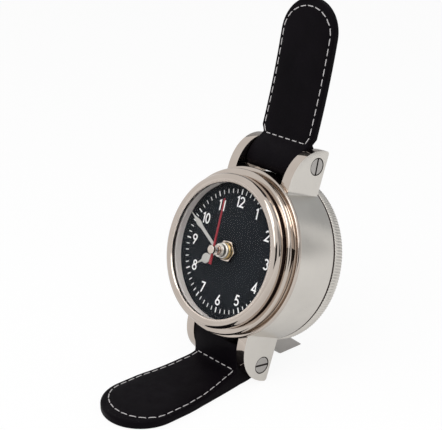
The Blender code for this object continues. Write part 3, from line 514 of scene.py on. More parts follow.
# The bezel: crown, groove, collar bead and neck
CROWN_LINE = ((0.0432, -0.0080), (0.0432, -0.0088), (0.0434, -0.0092), (0.0441, -0.0097),
              (0.0453, -0.0101), (0.0465, -0.0102), (0.0476, -0.0099), (0.0486, -0.0090),
              (0.0491, -0.0077), (CROWN_RADIUS, -0.0062))
CROWN_FOOT = -0.0058
GROOVE_RADIUS = 0.0472
GROOVE_FRONT = -0.0040
COLLAR_FRONT = -0.0022
COLLAR_RADIUS = 0.0516
COLLAR_BEAD = 0.0014
NECK_BACK = 0.0088
BEZEL_BORE = 0.0450
BEZEL_EDGE = 0.0003


def bezel_outline():
    """The polished crown, groove, collar bead and neck."""
    points = smooth_line(CROWN_LINE, CURVE_STEPS)
    steps = [(CROWN_RADIUS, CROWN_FOOT), (CROWN_RADIUS, GROOVE_FRONT),
             (GROOVE_RADIUS, GROOVE_FRONT), (GROOVE_RADIUS, COLLAR_FRONT),
             (COLLAR_RADIUS, COLLAR_FRONT)]
    points += rounded(steps, BEZEL_EDGE, 4, False)
    middle = (COLLAR_RADIUS, COLLAR_FRONT + COLLAR_BEAD)
    points += arc(middle, COLLAR_BEAD, COLLAR_BEAD, -90.0, 90.0)
    points += [(NECK_RADIUS, COLLAR_FRONT + 2 * COLLAR_BEAD), (NECK_RADIUS, NECK_BACK),
               (BEZEL_BORE, NECK_BACK), (BEZEL_BORE, CROWN_LINE[0][1])]
    return points


# The drum: front bead, widening tube, and the ledge and dial seat inside it
BEAD_REACH = 0.0010
BEAD_HALF = 0.0015
TUBE_FRONT = 0.0072
TUBE_BACK = DRUM_BACK - 0.0004
TUBE_EDGE = 0.00015
LEDGE_BORE = 0.0420
LEDGE_FRONT = 0.0093
LEDGE_BACK = 0.0113
SEAT_DEPTH = 0.0015
BRIGHT_BACK = 0.0071
BRIGHT_UP = 0.0400


def drum_outline():
    """The satin tube with its front bead."""
    points = [(DRUM_BORE, DRUM_FRONT)]
    points += arc((DRUM_RADIUS, DRUM_FRONT + BEAD_HALF), BEAD_REACH, BEAD_HALF, -90.0, 90.0)
    tube = [(DRUM_RADIUS, TUBE_FRONT), (REAR_RADIUS, TUBE_BACK), (DRUM_BORE, TUBE_BACK)]
    points += rounded(tube, TUBE_EDGE, 3, False)
    points += [(DRUM_BORE, LEDGE_BACK), (LEDGE_BORE, LEDGE_BACK), (LEDGE_BORE, SEAT_DEPTH),
               (DIAL_RADIUS, SEAT_DEPTH), (DIAL_RADIUS, LEDGE_FRONT), (DRUM_BORE, LEDGE_FRONT)]
    return points


def is_bright(face):
    """Whether a drum face is polished: the front bead, and the tube between two lugs."""
    between_lugs = abs(face.center.x) < LUG_INNER and abs(face.center.z) > BRIGHT_UP
    return between_lugs or face.center.y < BRIGHT_BACK


# The cap: each edge point holds its inset, its distance from the end, and its share of a flute
FLUTES = 180
FLUTE_DEPTH = 0.00045
CAP_BACK_EDGE = ((0.0014, 0.0, 0.0), (0.0007, 0.0002, 0.3), (0.0002, 0.0005, 0.8),
                 (0.0, 0.0009, 1.0))
CAP_FRONT_EDGE = ((0.0, 0.0009, 1.0), (0.0003, 0.0006, 0.7))
CAP_SINK = 0.0004
CAP_SINK_RADIUS = 0.0420
CAP_STEP_RADIUS = 0.0528
CAP_FACE_RADIUS = 0.0526
CAP_SATIN_RADIUS = 0.0541
SPIGOT_FRONT = 0.0330
SPIGOT_BORE = 0.0500
SPIGOT_FLOOR = 0.0430


def cap_outline():
    """The coin-edged cap with its spigot and a stepped back."""
    points = [(0.0, CAP_BACK - CAP_SINK), (CAP_SINK_RADIUS, CAP_BACK - CAP_SINK),
              (CAP_SINK_RADIUS + CAP_SINK, CAP_BACK)]
    points += [(REAR_RADIUS - inset, CAP_BACK - rise, share * FLUTE_DEPTH)
               for inset, rise, share in CAP_BACK_EDGE]
    points += [(REAR_RADIUS - inset, CAP_FRONT + rise, share * FLUTE_DEPTH)
               for inset, rise, share in CAP_FRONT_EDGE]
    points += [(CAP_STEP_RADIUS, CAP_FRONT + CAP_FRONT_EDGE[-1][1]), (CAP_FACE_RADIUS, CAP_FRONT),
               (NECK_RADIUS, CAP_FRONT), (NECK_RADIUS, SPIGOT_FRONT), (SPIGOT_BORE, SPIGOT_FRONT),
               (SPIGOT_BORE, SPIGOT_FLOOR), (0.0, SPIGOT_FLOOR)]
    return points


# The seals, a dark ring of painted shade in the bezel's groove, the surround wall and the dial
SEAL_INSET = 0.0003
SEAL_EASE = 0.0004
SEAL_START = 0.0370
SEAL_END = 0.0382
SEAL_OVERLAP = 0.0001
# A dark ring that fills the bezel's groove as painted shade
GROOVE_SHADE_RING = (0.0473, 0.0482, -0.0039, -0.0023)
GROOVE_SHADE_EDGE = 0.0002
WALL_FRONT = -0.0056
WALL_BACK = -0.0001
WALL_LINE = ((0.0444, WALL_BACK), (0.0436, -0.0054), (0.0438, WALL_FRONT))
LIP_BORE = 0.0433
LIP_START = -0.0074
LIP_END = -0.0079
DIAL_BORE = 0.0043
DIAL_THICKNESS = 0.0012


def rim_seal_outline():
    """The rubber seal between the drum and the cap, brought out to the drum's surface so that it
    also paints the gap's shade.
    """
    edge = REAR_RADIUS - SEAL_INSET
    front, back = SEAL_START - 2 * SEAL_OVERLAP, SEAL_END + 2 * SEAL_OVERLAP
    inner_back = CAP_FRONT - SEAL_OVERLAP
    return [(DRUM_BORE, SEAL_START - SEAL_OVERLAP), (edge - SEAL_EASE, front), (edge, SEAL_START),
            (edge, SEAL_END), (edge - SEAL_EASE, back), (CAP_STEP_RADIUS, back),
            (CAP_STEP_RADIUS - SEAL_OVERLAP, inner_back), (DRUM_BORE, inner_back)]


def make_case():
    """The bezel, drum, cap, seals, the dark ring of painted shade in the groove, wall and dial."""
    piece("bezel_polished", lathe(bezel_outline()), POLISHED, "polished_bezel", ["bezel_ring"])
    drum = piece("drum_satin", lathe(drum_outline()), SATIN, "satin_case", ["case_drum"])
    paint(drum, POLISHED, is_bright)
    cap = piece("cap_coined", lathe(cap_outline(), 8 * FLUTES, FLUTES), POLISHED, "polished_cap",
                ["back_cap"], "back", 50.0)
    paint(cap, SATIN, lambda face: axis_distance(face) > CAP_SATIN_RADIUS)
    # A real seal, set flush so its dark rubber is partly painted shade in the gap
    piece("rim_seal", lathe(rim_seal_outline()), RUBBER, "rim_gasket", ["cap_gasket"])
    # The groove's dark ring is painted shade, not a part of the clock
    groove = rounded(band(*GROOVE_SHADE_RING), GROOVE_SHADE_EDGE, 3)
    piece("groove_shade_ring", lathe(groove), RUBBER, "polished_bezel")
    wall = [*WALL_LINE, (DIAL_RADIUS, WALL_FRONT), (DIAL_RADIUS, WALL_BACK)]
    piece("surround_wall", lathe(wall), PALE_WALL, "dial_surround", ["dial_surround"])
    piece("lip_seal", lathe(band(LIP_BORE, DIAL_RADIUS, LIP_START, LIP_END)), RUBBER,
          "glass_gasket", ["glass_gasket"])
    piece("dial_face", lathe(band(DIAL_BORE, DIAL_RADIUS, 0.0, DIAL_THICKNESS)), DIAL_PAINT,
          "dial_paint", ["dial_plate"])


# The glass
GLASS_RADIUS = 0.0422
GLASS_THICKNESS = 0.0012
GLASS_FOOT = -0.0130
GLASS_RISE = 0.0071
FLANGE_FRONT = -0.0071
DOME_STEPS = 25


def dome(radius, rise):
    """The outline of a dome, from its foot to the axis."""
    shares = [math.cos(0.5 * math.pi * step / DOME_STEPS) for step in range(DOME_STEPS)]
    points = [(share * radius, GLASS_FOOT - (1.0 - share * share) * rise) for share in shares]
    return points + [(0.0, GLASS_FOOT - rise)]


def make_glass():
    """The clear dome with its flange."""
    inner = GLASS_RADIUS - GLASS_THICKNESS
    flange_back = FLANGE_FRONT + GLASS_THICKNESS
    outline = dome(inner, GLASS_RISE)[::-1]
    outline += [(inner, flange_back), (DIAL_RADIUS, flange_back), (DIAL_RADIUS, FLANGE_FRONT),
                (GLASS_RADIUS, FLANGE_FRONT)]
    outline += dome(GLASS_RADIUS, GLASS_RISE + GLASS_THICKNESS)
    piece("glass_dome", lathe(outline, 128), GLASS, "glass_lens", ["glass_lens"], sharp=60.0)


# The dial's print, which sits a little off the case's twelve o'clock
PRINT_TURN = math.radians(-3.1)
PRINT_LOW = 0.00001
PRINT_HIGH = 0.00005
LAYER_RISE = 0.000004
DIGITS = {
    "0": [arc((0.28, 0.50), 0.205, 0.43, 0.0, 360.0, 32)],
    "1": [[(0.13, 0.80), (0.31, 0.925), (0.31, 0.0)]],
    "2": [arc((0.275, 0.695), 0.215, 0.235, 165.0, -38.0, 20) + [(0.075, 0.07), (0.53, 0.07)]],
    "3": [arc((0.26, 0.725), 0.185, 0.20, 150.0, -75.0),
          arc((0.26, 0.30), 0.225, 0.235, 78.0, -150.0, 20)],
    "4": [[(0.43, 0.0), (0.43, 0.90), (0.07, 0.25), (0.56, 0.25)]],
    "5": [[(0.50, 0.93), (0.20, 0.93), (0.14, 0.54)]
          + arc((0.27, 0.325), 0.225, 0.26, 118.0, -140.0, 20)[1:]],
    "6": [arc((0.28, 0.29), 0.215, 0.225, 0.0, 360.0, 28), [(0.37, 0.98), (0.095, 0.40)]],
    "7": [[(0.06, 0.93), (0.48, 0.93), (0.17, 0.0)]],
    "8": [arc((0.28, 0.735), 0.165, 0.185, 0.0, 360.0, 24),
          arc((0.28, 0.29), 0.215, 0.23, 0.0, 360.0, 28)],
    "9": [arc((0.28, 0.71), 0.215, 0.225, 0.0, 360.0, 28), [(0.19, 0.02), (0.465, 0.60)]],
}
DIGIT_HEIGHT = 0.0070
DIGIT_ADVANCE = 0.61
ONE_ADVANCE = 0.50
DIGIT_SPREAD = 1.10
DIGIT_STROKE = 0.00049
NUMERAL_RADII = (0.0324, 0.0338, 0.0334, 0.0324, 0.0320, 0.0320, 0.0320, 0.0320, 0.0328, 0.0312,
                 0.0308, 0.0322)
MARK_RADIUS = 0.0385
HOUR_MARK = (0.0034, 0.00044)
MINUTE_MARK = (0.0027, 0.00029)


def stroke_prism(shape, line, half, high):
    """Add a flat stroke along a line of the dial as a thin solid with mitred corners."""
    least_mitre = 0.35
    points = [Vector(point) for point in line]
    closed = (points[0] - points[-1]).length < 1e-7
    if closed:
        points.pop()
    count = len(points)
    rails = []
    for index, point in enumerate(points):
        before = points[index - 1] if closed or index else point
        after = points[(index + 1) % count] if closed or index < count - 1 else point
        into = (point - before).normalized() if point != before else (after - point).normalized()
        out = (after - point).normalized() if after != point else into
        along = (into + out).normalized()
        side = Vector((-along.y, along.x))
        reach = half / max(least_mitre, side.dot(Vector((-into.y, into.x))))
        ring = []
        for offset, depth in band(reach, -reach, PRINT_LOW, high):
            spot = point + side * offset
            ring.append(shape.verts.new((spot.x, -depth, spot.y)))
        rails.append(ring)
    if not closed:
        shape.faces.new(rails[0])
        shape.faces.new(reversed(rails[-1]))
    bridge(shape, rails, closed)


def make_numerals():
    """The twelve upright numerals."""
    shape = bmesh.new()
    layer = 0
    for hour in range(1, 13):
        text = str(hour)
        advances = [ONE_ADVANCE if digit == "1" else DIGIT_ADVANCE for digit in text]
        angle = math.radians(30.0 * hour)
        radius = NUMERAL_RADII[hour - 1]
        left = radius * math.sin(angle) - 0.5 * DIGIT_HEIGHT * sum(advances)
        low = radius * math.cos(angle) - 0.5 * DIGIT_HEIGHT
        for digit, advance in zip(text, advances):
            for line in DIGITS[digit]:
                spots = [turn_point(left + DIGIT_SPREAD * DIGIT_HEIGHT * a,
                                    low + DIGIT_HEIGHT * b, PRINT_TURN) for a, b in line]
                layer += 1
                stroke_prism(shape, spots, DIGIT_STROKE, PRINT_HIGH + LAYER_RISE * (layer % 3))
            left += DIGIT_HEIGHT * advance
    piece("dial_numerals", shape, PRINT_WHITE, "dial_paint")


def make_marks():
    """Sixty minute marks, longer at the hours."""
    shape = bmesh.new()
    for minute in range(60):
        angle = PRINT_TURN + math.radians(6.0 * minute)
        outward = Vector((math.sin(angle), math.cos(angle)))
        length, half = HOUR_MARK if minute % 5 == 0 else MINUTE_MARK
        ends = [outward * (MARK_RADIUS + side * 0.5 * length) for side in (-1, 1)]
        stroke_prism(shape, ends, half, PRINT_HIGH)
    piece("dial_marks", shape, PRINT_WHITE, "dial_paint")


# The hands: a blade's line holds (along, across) shares of its length and half width, its size
# those two and its distance from the dial, and a hub its radius, bore, distance and thickness
HAND_THICKNESS = 0.0005
HAND_EDGE = 0.00008
SECOND_EDGE = 0.00006
HUB_EDGE = 0.00015
CENTRE_CAP_EDGE = 0.0003
HOUR_SIZE = (0.0220, 0.0064, 0.0078)
MINUTE_SIZE = (0.0350, 0.0038, 0.0109)
SECOND_SIZE = (0.0330, 0.0024, 0.0144)
HOUR_TURN = math.radians(232.0)
MINUTE_TURN = math.radians(298.0)
HOUR_SHARES = ((0.0, 0.30), (0.42, 0.27), (0.48, 0.50), (0.55, 0.90), (0.63, 1.0), (0.70, 0.92),
               (0.76, 0.60), (0.81, 0.26), (1.0, 0.09))
MINUTE_SHARES = ((0.0, 0.48), (0.30, 0.55), (0.58, 0.62), (0.66, 0.88), (0.71, 1.0), (0.77, 0.82),
                 (0.84, 0.42), (0.90, 0.18), (1.0, 0.10))
SECOND_SHARES = ((-0.28, 1.0), (-0.06, 0.70), (0.06, 0.66), (1.0, 0.34))
HOUR_HUB = (0.0043, 0.0029, 0.0098, 0.0028)
MINUTE_HUB = (0.0032, 0.0018, 0.0114, 0.0015)
SECOND_HUB = (0.0021, 0.0007, 0.0146, 0.0010)
CENTRE_CAP = ((0.0, -0.0165), (0.0028, -0.0164), (0.0028, -0.0147), (0.0, -0.0147))


def make_blade(name, body, paint_slot, shares, size, angle, edge):
    """A flat hand with eased edges."""
    length, width, front = size
    half = [(0.5 * width * across, along * length) for along, across in smooth_line(shares, 5)]
    outline = half + [(-across, up) for across, up in reversed(half)]
    turned = [turn_point(across, up, angle) for across, up in outline]
    item = raw_object(name + "_blade", prism(turned, -front, HAND_THICKNESS - front, "Y"))
    bevel(item, edge, 2, 50.0)
    settle(item, *paint_slot, [name + "_hand"], body)


def make_hub(name, body, metal, slot, radius, bore, front, thickness):
    """A turned hub with a stepped, eased rim."""
    step = 0.3 * (radius - bore)
    rise = 0.25 * thickness
    points = [(bore, -front), (radius - step, -front), (radius - step, -front + rise),
              (radius, -front + rise), (radius, thickness - front), (bore, thickness - front)]
    shape = lathe(rounded(points, HUB_EDGE, 3), SMALL_STEPS)
    piece(name + "_hub", shape, metal, slot, (), body)


def make_hands():
    """The hour, minute and second hands with their hubs, and the centre cap."""
    white, red = (HAND_WHITE, "hand_white"), (HAND_RED, "hand_red")
    make_blade("hour", "hour", white, HOUR_SHARES, HOUR_SIZE, HOUR_TURN, HAND_EDGE)
    make_hub("hour", "hour", SATIN, "hand_white", *HOUR_HUB)
    make_blade("minute", "minute", white, MINUTE_SHARES, MINUTE_SIZE, MINUTE_TURN, HAND_EDGE)
    make_hub("minute", "minute", POLISHED, "hand_white", *MINUTE_HUB)
    make_blade("second", "seconds", red, SECOND_SHARES, SECOND_SIZE, PRINT_TURN, SECOND_EDGE)
    make_hub("second", "seconds", COPPER, "hand_red", *SECOND_HUB)
    cap = rounded(CENTRE_CAP, CENTRE_CAP_EDGE, 4, False)
    piece("centre_cap", lathe(cap, SMALL_STEPS), POLISHED, "cap_steel", ["second_cap"], "seconds")


# The spindle: a hexagon nut with a recess, a brass ring, and a bushing with a collar and a thread
NUT_HALF = 0.0063
NUT_TURN = 5.5
NUT_FRONT = -0.0029
NUT_BACK = -0.0003
NUT_EDGE = 0.00015
NUT_CHAMFER = ((0.0, -0.0031), (0.0066, -0.0031), (0.0076, -0.0025), (0.0076, -0.0001),
               (0.0, -0.0001))
RECESS_RADIUS = 0.0056
NUT_RECESS = ((0.0, -0.0040), (RECESS_RADIUS, -0.0040), (RECESS_RADIUS, -0.0022),
              (0.0041, -0.0018), (0.0041, 0.0010), (0.0, 0.0010))
RECESS_FRONT = -0.0028
BRASS_RING = (0.0042, 0.0052, -0.0048, -0.0031)
BRASS_RING_EDGE = 0.0005
BUSHING_BORE = 0.0030
BUSHING_COLLAR = ((0.0047, -0.0065), (0.0050, -0.0062), (0.0050, -0.0052), (0.0047, -0.0049))
BUSHING_FLANGE = ((0.0040, 0.0046), (0.0060, 0.0046), (0.0060, 0.0054), (BUSHING_BORE, 0.0054))
THREAD_START = -0.0045
THREAD_PITCH = 0.0006
THREAD_TURNS = 13
THREAD_TOP = 0.0040
THREAD_ROOT = 0.0037


def make_nut():
    """The plated nut, with painted shade on the faces of its recess."""
    corner = NUT_HALF / math.cos(math.pi / 6)
    outline = arc((0.0, 0.0), corner, corner, NUT_TURN, NUT_TURN + 300.0, 5)
    nut = raw_object("nut_plated", prism(outline, NUT_FRONT, NUT_BACK, "Y"))
    boolean(nut, lathe(NUT_CHAMFER, MIDDLE_STEPS), operation="INTERSECT")
    boolean(nut, lathe(NUT_RECESS, SMALL_STEPS))
    bevel(nut, NUT_EDGE, 2, 30.0)
    settle(nut, POLISHED, "brass_fitting", ["hex_nut"])
    # The recess's faces get near-black paint as painted shade
    paint(nut, SHADE_STEEL, lambda face: axis_distance(face) < RECESS_RADIUS
          and face.center.y > RECESS_FRONT)


def make_bushing():
    """The bushing, turned with ridges for its thread."""
    points = [(BUSHING_BORE, 0.0050), (BUSHING_BORE, BUSHING_COLLAR[0][1]), *BUSHING_COLLAR]
    for turn in range(THREAD_TURNS):
        depth = THREAD_START + THREAD_PITCH * turn
        for radius, share in ((THREAD_TOP, 0.0), (THREAD_TOP, 0.25), (THREAD_ROOT, 0.5),
                              (THREAD_ROOT, 0.75)):
            points.append((radius, depth + share * THREAD_PITCH))
    points += BUSHING_FLANGE
    piece("bushing_threaded", lathe(points, MIDDLE_STEPS), SATIN, "brass_fitting",
          ["threaded_bushing"], sharp=60.0)


def make_spindle():
    """The nut, the brass ring in front of it and the bushing."""
    make_nut()
    ring = rounded(band(*BRASS_RING), BRASS_RING_EDGE, 5)
    piece("ring_brass", lathe(ring, 128), BRASS, "brass_fitting", ["brass_washer"])
    make_bushing()


# The lugs
LUG_ROOT = 0.0300
LUG_CURVE_START = 0.0500
LUG_CORNER = 0.0020
LUG_POWER = 2.0 / 2.2
LUG_EDGE = 0.00045
LUG_STOCK = (0.0150, 0.0400)
LUG_STOCK_UP = 0.0850
LUG_STOCK_DEPTH = 0.0500
INNER_FILLET = 0.0012
UPPER_FILLET = 0.0040
LOWER_FILLET = 0.0018
FILLET_SINK = 0.0001
FILLET_TOP = 0.0565
SCREW_SINK = (0.0, 0.00585, -0.0030, 0.0026)
SCREW_HOLE = (0.0, 0.0028, -0.0030, 0.0110)
SUNK_REACH = 0.0059
PLATE_START = DRUM_RADIUS + 0.0010


def lug_side(side):
    """The lug's side view as (depth, up) points."""
    reach = LUG_REACH - LUG_CURVE_START
    drop = LUG_BACK - LUG_CORNER - LUG_FRONT
    steps = 40
    outline = [(LUG_FRONT, LUG_ROOT)]
    for step in range(steps + 1):
        angle = 0.5 * math.pi * step / steps
        outline.append((LUG_FRONT + drop * (1.0 - math.cos(angle) ** LUG_POWER),
                        LUG_CURVE_START + reach * math.sin(angle) ** LUG_POWER))
    outline += arc((LUG_BACK - LUG_CORNER, LUG_REACH - LUG_CORNER), LUG_CORNER, LUG_CORNER, 75.0,
                   0.0, 6)
    outline.append((LUG_BACK, LUG_ROOT))
    return [(depth, side * up) for depth, up in outline]


def lug_section(across, side):
    """The lug's plan as (x, up) points, with a hollow fillet down to the drum on each face."""
    radius = DRUM_RADIUS - FILLET_SINK
    outer_fillet = UPPER_FILLET if side > 0 else LOWER_FILLET
    steps = 16
    points = []
    for face, away, fillet in ((LUG_INNER, -1, INNER_FILLET), (LUG_OUTER, 1, outer_fillet)):
        centre_x = face + away * fillet
        centre_u = math.sqrt((radius + fillet) ** 2 - centre_x ** 2)
        touch = Vector((centre_x, centre_u)) * radius / (radius + fillet)
        start = Vector((-away * fillet, 0.0))
        end = touch - Vector((centre_x, centre_u))
        line = [(face, LUG_STOCK_UP)]
        for step in range(steps + 1):
            direction = start.lerp(end, step / steps).normalized() * fillet
            line.append((centre_x + direction.x, centre_u + direction.y))
        line.append(tuple(touch * 0.97))
        points += line if away < 0 else line[::-1]
    return [(across * x, side * up) for x, up in points]


def screw_frame(across, side):
    """The frame of a lug screw: its Y runs from the head into the lug."""
    place = Matrix.Translation((across * LUG_OUTER, BAR_DEPTH, side * BAR_UP))
    return HEAD @ place @ Matrix.Rotation(across * 0.5 * math.pi, 4, "Z")


def paint_lug(item, side):
    """Satin faces and fillets, and painted shade in the counterbore; the rest stays polished."""
    def is_satin(face):
        outer = abs(face.center.x) > 0.5 * (LUG_INNER + LUG_OUTER)
        on_fillet = abs(face.normal.y) < 0.3 and abs(face.center.z) < FILLET_TOP
        return outer and (abs(face.normal.x) > 0.95 or on_fillet)

    def is_sunk(face):
        reach = math.hypot(face.center.y - BAR_DEPTH, face.center.z - side * BAR_UP)
        return reach < SUNK_REACH and abs(face.normal.x) < 0.5

    paint(item, SATIN, is_satin)
    # The counterbore's walls get near-black paint as painted shade
    paint(item, SHADE_STEEL, is_sunk)


def make_lug(name, across, side):
    """One lug plate, cut to its plan and counterbored for its screw."""
    item = raw_object("lug_plate_" + name,
                      prism(lug_side(side), *sorted(across * x for x in LUG_STOCK), "X"))
    plan = prism(lug_section(across, side), 0.0, LUG_STOCK_DEPTH, "Y")
    boolean(item, plan, operation="INTERSECT")
    bevel(item, LUG_EDGE, 3, 40.0, PLATE_START)
    axis = screw_frame(across, side)
    boolean(item, lathe(band(*SCREW_SINK), SMALL_STEPS), axis)
    boolean(item, lathe(band(*SCREW_HOLE), 48), axis)
    settle(item, POLISHED, "satin_lug", ["lug_" + name], sharp=30.0)
    paint_lug(item, side)


# The lug screws
HEAD_RADIUS = 0.0053
HEAD_FRONT = 0.0001
HEAD_BACK = 0.0024
SHANK_RADIUS = 0.0025
SHANK_END = 0.0142
SLOT_REACH = 0.0065
SLOT_HALF = 0.00065
SLOT_DEPTH = 0.0010
SLOT_SHADE_RANGE = (0.0004, 0.0013)
SLOT_SHADE_REACH = 0.0052
HEAD_EDGE = 0.00035
SLOT_TURNS = {1: math.radians(-7.0), -1: math.radians(79.0)}


def make_screw(name, across, side):
    """A slotted cheese-head screw with painted shade in its slot."""
    def in_slot(face):
        low, high = SLOT_SHADE_RANGE
        return low < face.center.y < high and axis_distance(face) < SLOT_SHADE_REACH

    axis = screw_frame(across, side)
    outline = [(0.0, HEAD_FRONT), (HEAD_RADIUS, HEAD_FRONT), (HEAD_RADIUS, HEAD_BACK),
               (SHANK_RADIUS, HEAD_BACK), (SHANK_RADIUS, SHANK_END), (0.0, SHANK_END)]
    shape = lathe(rounded(outline, HEAD_EDGE, 4, False), MIDDLE_STEPS)
    item = raw_object("screw_" + name, shape, axis)
    slot = [turn_point(a, b, SLOT_TURNS[side])
            for a, b in band(-SLOT_HALF, SLOT_HALF, -SLOT_REACH, SLOT_REACH)]
    boolean(item, prism(slot, -SLOT_DEPTH, SLOT_DEPTH, "Y"), axis)
    # The screw's nickel is darkened as painted shade
    settle(item, SHADED_NICKEL, "lug_screw", ["lug_screw_" + name], sharp=30.0)
    # The slot's faces get near-black paint as painted shade
    paint(item, SHADE_STEEL, in_slot)


def make_lugs():
    """Four lugs and their screws."""
    for level, side in (("upper", 1), ("lower", -1)):
        for hand, across in (("left", -1), ("right", 1)):
            make_lug(f"{level}_{hand}", across, side)
            make_screw(f"{level}_{hand}", across, side)


# The straps: lines of the head frame hold (up, depth) points, lines of the stand frame (y, z)
ROOT_FRONT = ((0.0549, 0.0172), (0.0568, 0.0146), (0.0605, 0.0134), (0.0655, 0.0142),
              (0.0705, 0.0168), (0.0745, 0.0200))
ROOT_REAR = ((0.0549, 0.0290), (0.0572, 0.0318), (0.0610, 0.0334), (0.0660, 0.0343),
             (0.0710, 0.0330), (0.0760, 0.0296))
BEND = (0.0778, 0.0223)
UPPER_LEANS = (math.radians(18.3), math.radians(8.8))
UPPER_STEPS = 22
WIDENING_LENGTH = 0.0030
LOWER_FRONT = ((-0.0115, -0.0550), (-0.0120, -0.0590), (-0.0120, -0.0635), (-0.0120, -0.0680),
               (-0.0120, -0.0720), (-0.0126, -0.0744), (-0.0160, -0.0755), (-0.0200, -0.0761),
               (-0.0300, -0.0775), (-0.0410, -0.0785), (-0.0520, -0.0786))
LOWER_REAR = ((0.0046, -0.0822), (-0.0012, -0.0838), (-0.0090, -0.0840), (-0.0220, -0.0840),
              (-0.0380, -0.0840), (-0.0504, -0.0840))
LOWER_HALVES = (*[ROOT_HALF] * 6, 0.0209, 0.0214, 0.0231, 0.0249, 0.0262)
LOWER_BEND = 5
TAIL_STEPS = 12
EDGE_ROUND = 0.0014
SEAM_DEPTH = 0.00022
SEAM_WIDTH = 0.00035
BEND_DEPTH = 0.00016
BEND_WIDTH = 0.0005
CREST_HEIGHT = 0.00045
CREST_WIDTH = 0.0100


def head_to_stand(up, depth):
    """Turn a head-frame height and depth into the stand frame's (y, z)."""
    return Vector((up * math.sin(LEAN) + depth * math.cos(LEAN),
                   up * math.cos(LEAN) - depth * math.sin(LEAN)))


def upper_controls():
    """Front points, rear points and half widths of the upper strap, and the bend's index."""
    fronts = [head_to_stand(*point) for point in ROOT_FRONT]
    rears = [head_to_stand(*point) for point in ROOT_REAR]
    halves = [ROOT_HALF] * len(fronts)
    bend = head_to_stand(*BEND)
    low, high = UPPER_LEANS
    change = (high - low) / FREE_LENGTH
    for step in range(UPPER_STEPS + 1):
        distance = FREE_LENGTH * step / UPPER_STEPS
        lean = low + change * distance
        front = bend + Vector(((math.cos(low) - math.cos(lean)) / change,
                               (math.sin(lean) - math.sin(low)) / change))
        fronts.append(front)
        rears.append(front + Vector((math.cos(lean), -math.sin(lean))) * STRAP_THICKNESS)
        share = min(1.0, distance / WIDENING_LENGTH)
        halves.append(ROOT_HALF + (FREE_HALF - ROOT_HALF) * share)
    return fronts, rears, halves, len(ROOT_FRONT)


def lower_controls():
    """Front points, rear points and half widths of the lower strap, and the bend's index."""
    fronts = [Vector(point) for point in LOWER_FRONT]
    rears = [head_to_stand(-up, depth) for up, depth in ROOT_REAR[:5]]
    rears += [Vector(point) for point in LOWER_REAR]
    halves = list(LOWER_HALVES)
    start = LOWER_FRONT[-1][0]
    for step in range(1, TAIL_STEPS + 1):
        y = start - (TAIL_LENGTH + start) * step / TAIL_STEPS
        fronts.append(Vector((y, STRAP_THICKNESS - DIAL_HEIGHT)))
        rears.append(Vector((y, -DIAL_HEIGHT)))
        halves.append(TAIL_HALF)
    return fronts, rears, halves, LOWER_BEND


class Strap:
    """A strap's faces, read by distance along its front."""

    def __init__(self, controls, inset, tip_inset, seam_shift, skew):
        fronts, rears, halves, bend = controls
        self.inset = inset
        self.tip_inset = tip_inset
        self.skew = skew
        self.radius = halves[-1]
        self.front = [Vector(point) for point in smooth_line(fronts, CURVE_STEPS)]
        self.rear = [Vector(point) for point in smooth_line(rears, CURVE_STEPS)]
        self.half = [low + (high - low) * (step / CURVE_STEPS)
                     for low, high in zip(halves, halves[1:]) for step in range(CURVE_STEPS)]
        self.half.append(halves[-1])
        self.along = [0.0]
        for first, second in zip(self.front, self.front[1:]):
            self.along.append(self.along[-1] + (second - first).length)
        self.length = self.along[-1]
        self.bend = self.along[CURVE_STEPS * bend]
        self.tip = self.length - self.radius
        self.seam = self.bend + seam_shift

    def at(self, distance):
        """The front point, rear point and half width at a distance along the strap."""
        distance = min(max(distance, 0.0), self.length)
        high = min(bisect.bisect_right(self.along, distance), len(self.along) - 1)
        low = high - 1
        span = self.along[high] - self.along[low]
        share = (distance - self.along[low]) / span if span else 0.0
        half = self.half[low] + (self.half[high] - self.half[low]) * share
        if distance > self.tip:
            half = math.sqrt(max(0.0, self.radius ** 2 - (distance - self.tip) ** 2))
        return self.front[low].lerp(self.front[high], share), \
            self.rear[low].lerp(self.rear[high], share), half

    def edge_distance(self, x, distance):
        """How far a point of the strap lies inside its outline."""
        if distance > self.tip:
            return self.radius - math.hypot(x, distance - self.tip)
        return self.at(distance)[2] - abs(x)

    def sink(self, x, distance, is_front):
        """How far the surface lies under the flat face: rounded edges, seam groove and crown."""
        inside = max(0.0, self.edge_distance(x, distance))
        depth = 0.0
        if inside < EDGE_ROUND:
            depth = EDGE_ROUND - math.sqrt(EDGE_ROUND ** 2 - (EDGE_ROUND - inside) ** 2)
        if distance > self.bend:
            depth += SEAM_DEPTH * math.exp(-((inside - self.inset) / SEAM_WIDTH) ** 2)
        depth += BEND_DEPTH * math.exp(-((distance - self.bend) / BEND_WIDTH) ** 2)
        if is_front:
            share = min(1.0, inside / CREST_WIDTH)
            depth -= CREST_HEIGHT * share * share * (3 - 2 * share)
        return depth

    def spot(self, x, distance, is_front):
        """A point of the strap's face in the stand frame."""
        front, rear, _ = self.at(distance)
        start, end = (front, rear) if is_front else (rear, front)
        inward = (end - start).normalized()
        place = start + inward * self.sink(x, distance, is_front)
        share = max(0.0, (distance - self.bend) / (self.length - self.bend))
        return Vector((x + share * self.skew, place.x, place.y))

    def normal(self, distance, is_front):
        """The outward direction of the strap's face."""
        front, rear, _ = self.at(distance)
        outward = (front - rear) if is_front else (rear - front)
        return Vector((0.0, outward.x, outward.y)).normalized()


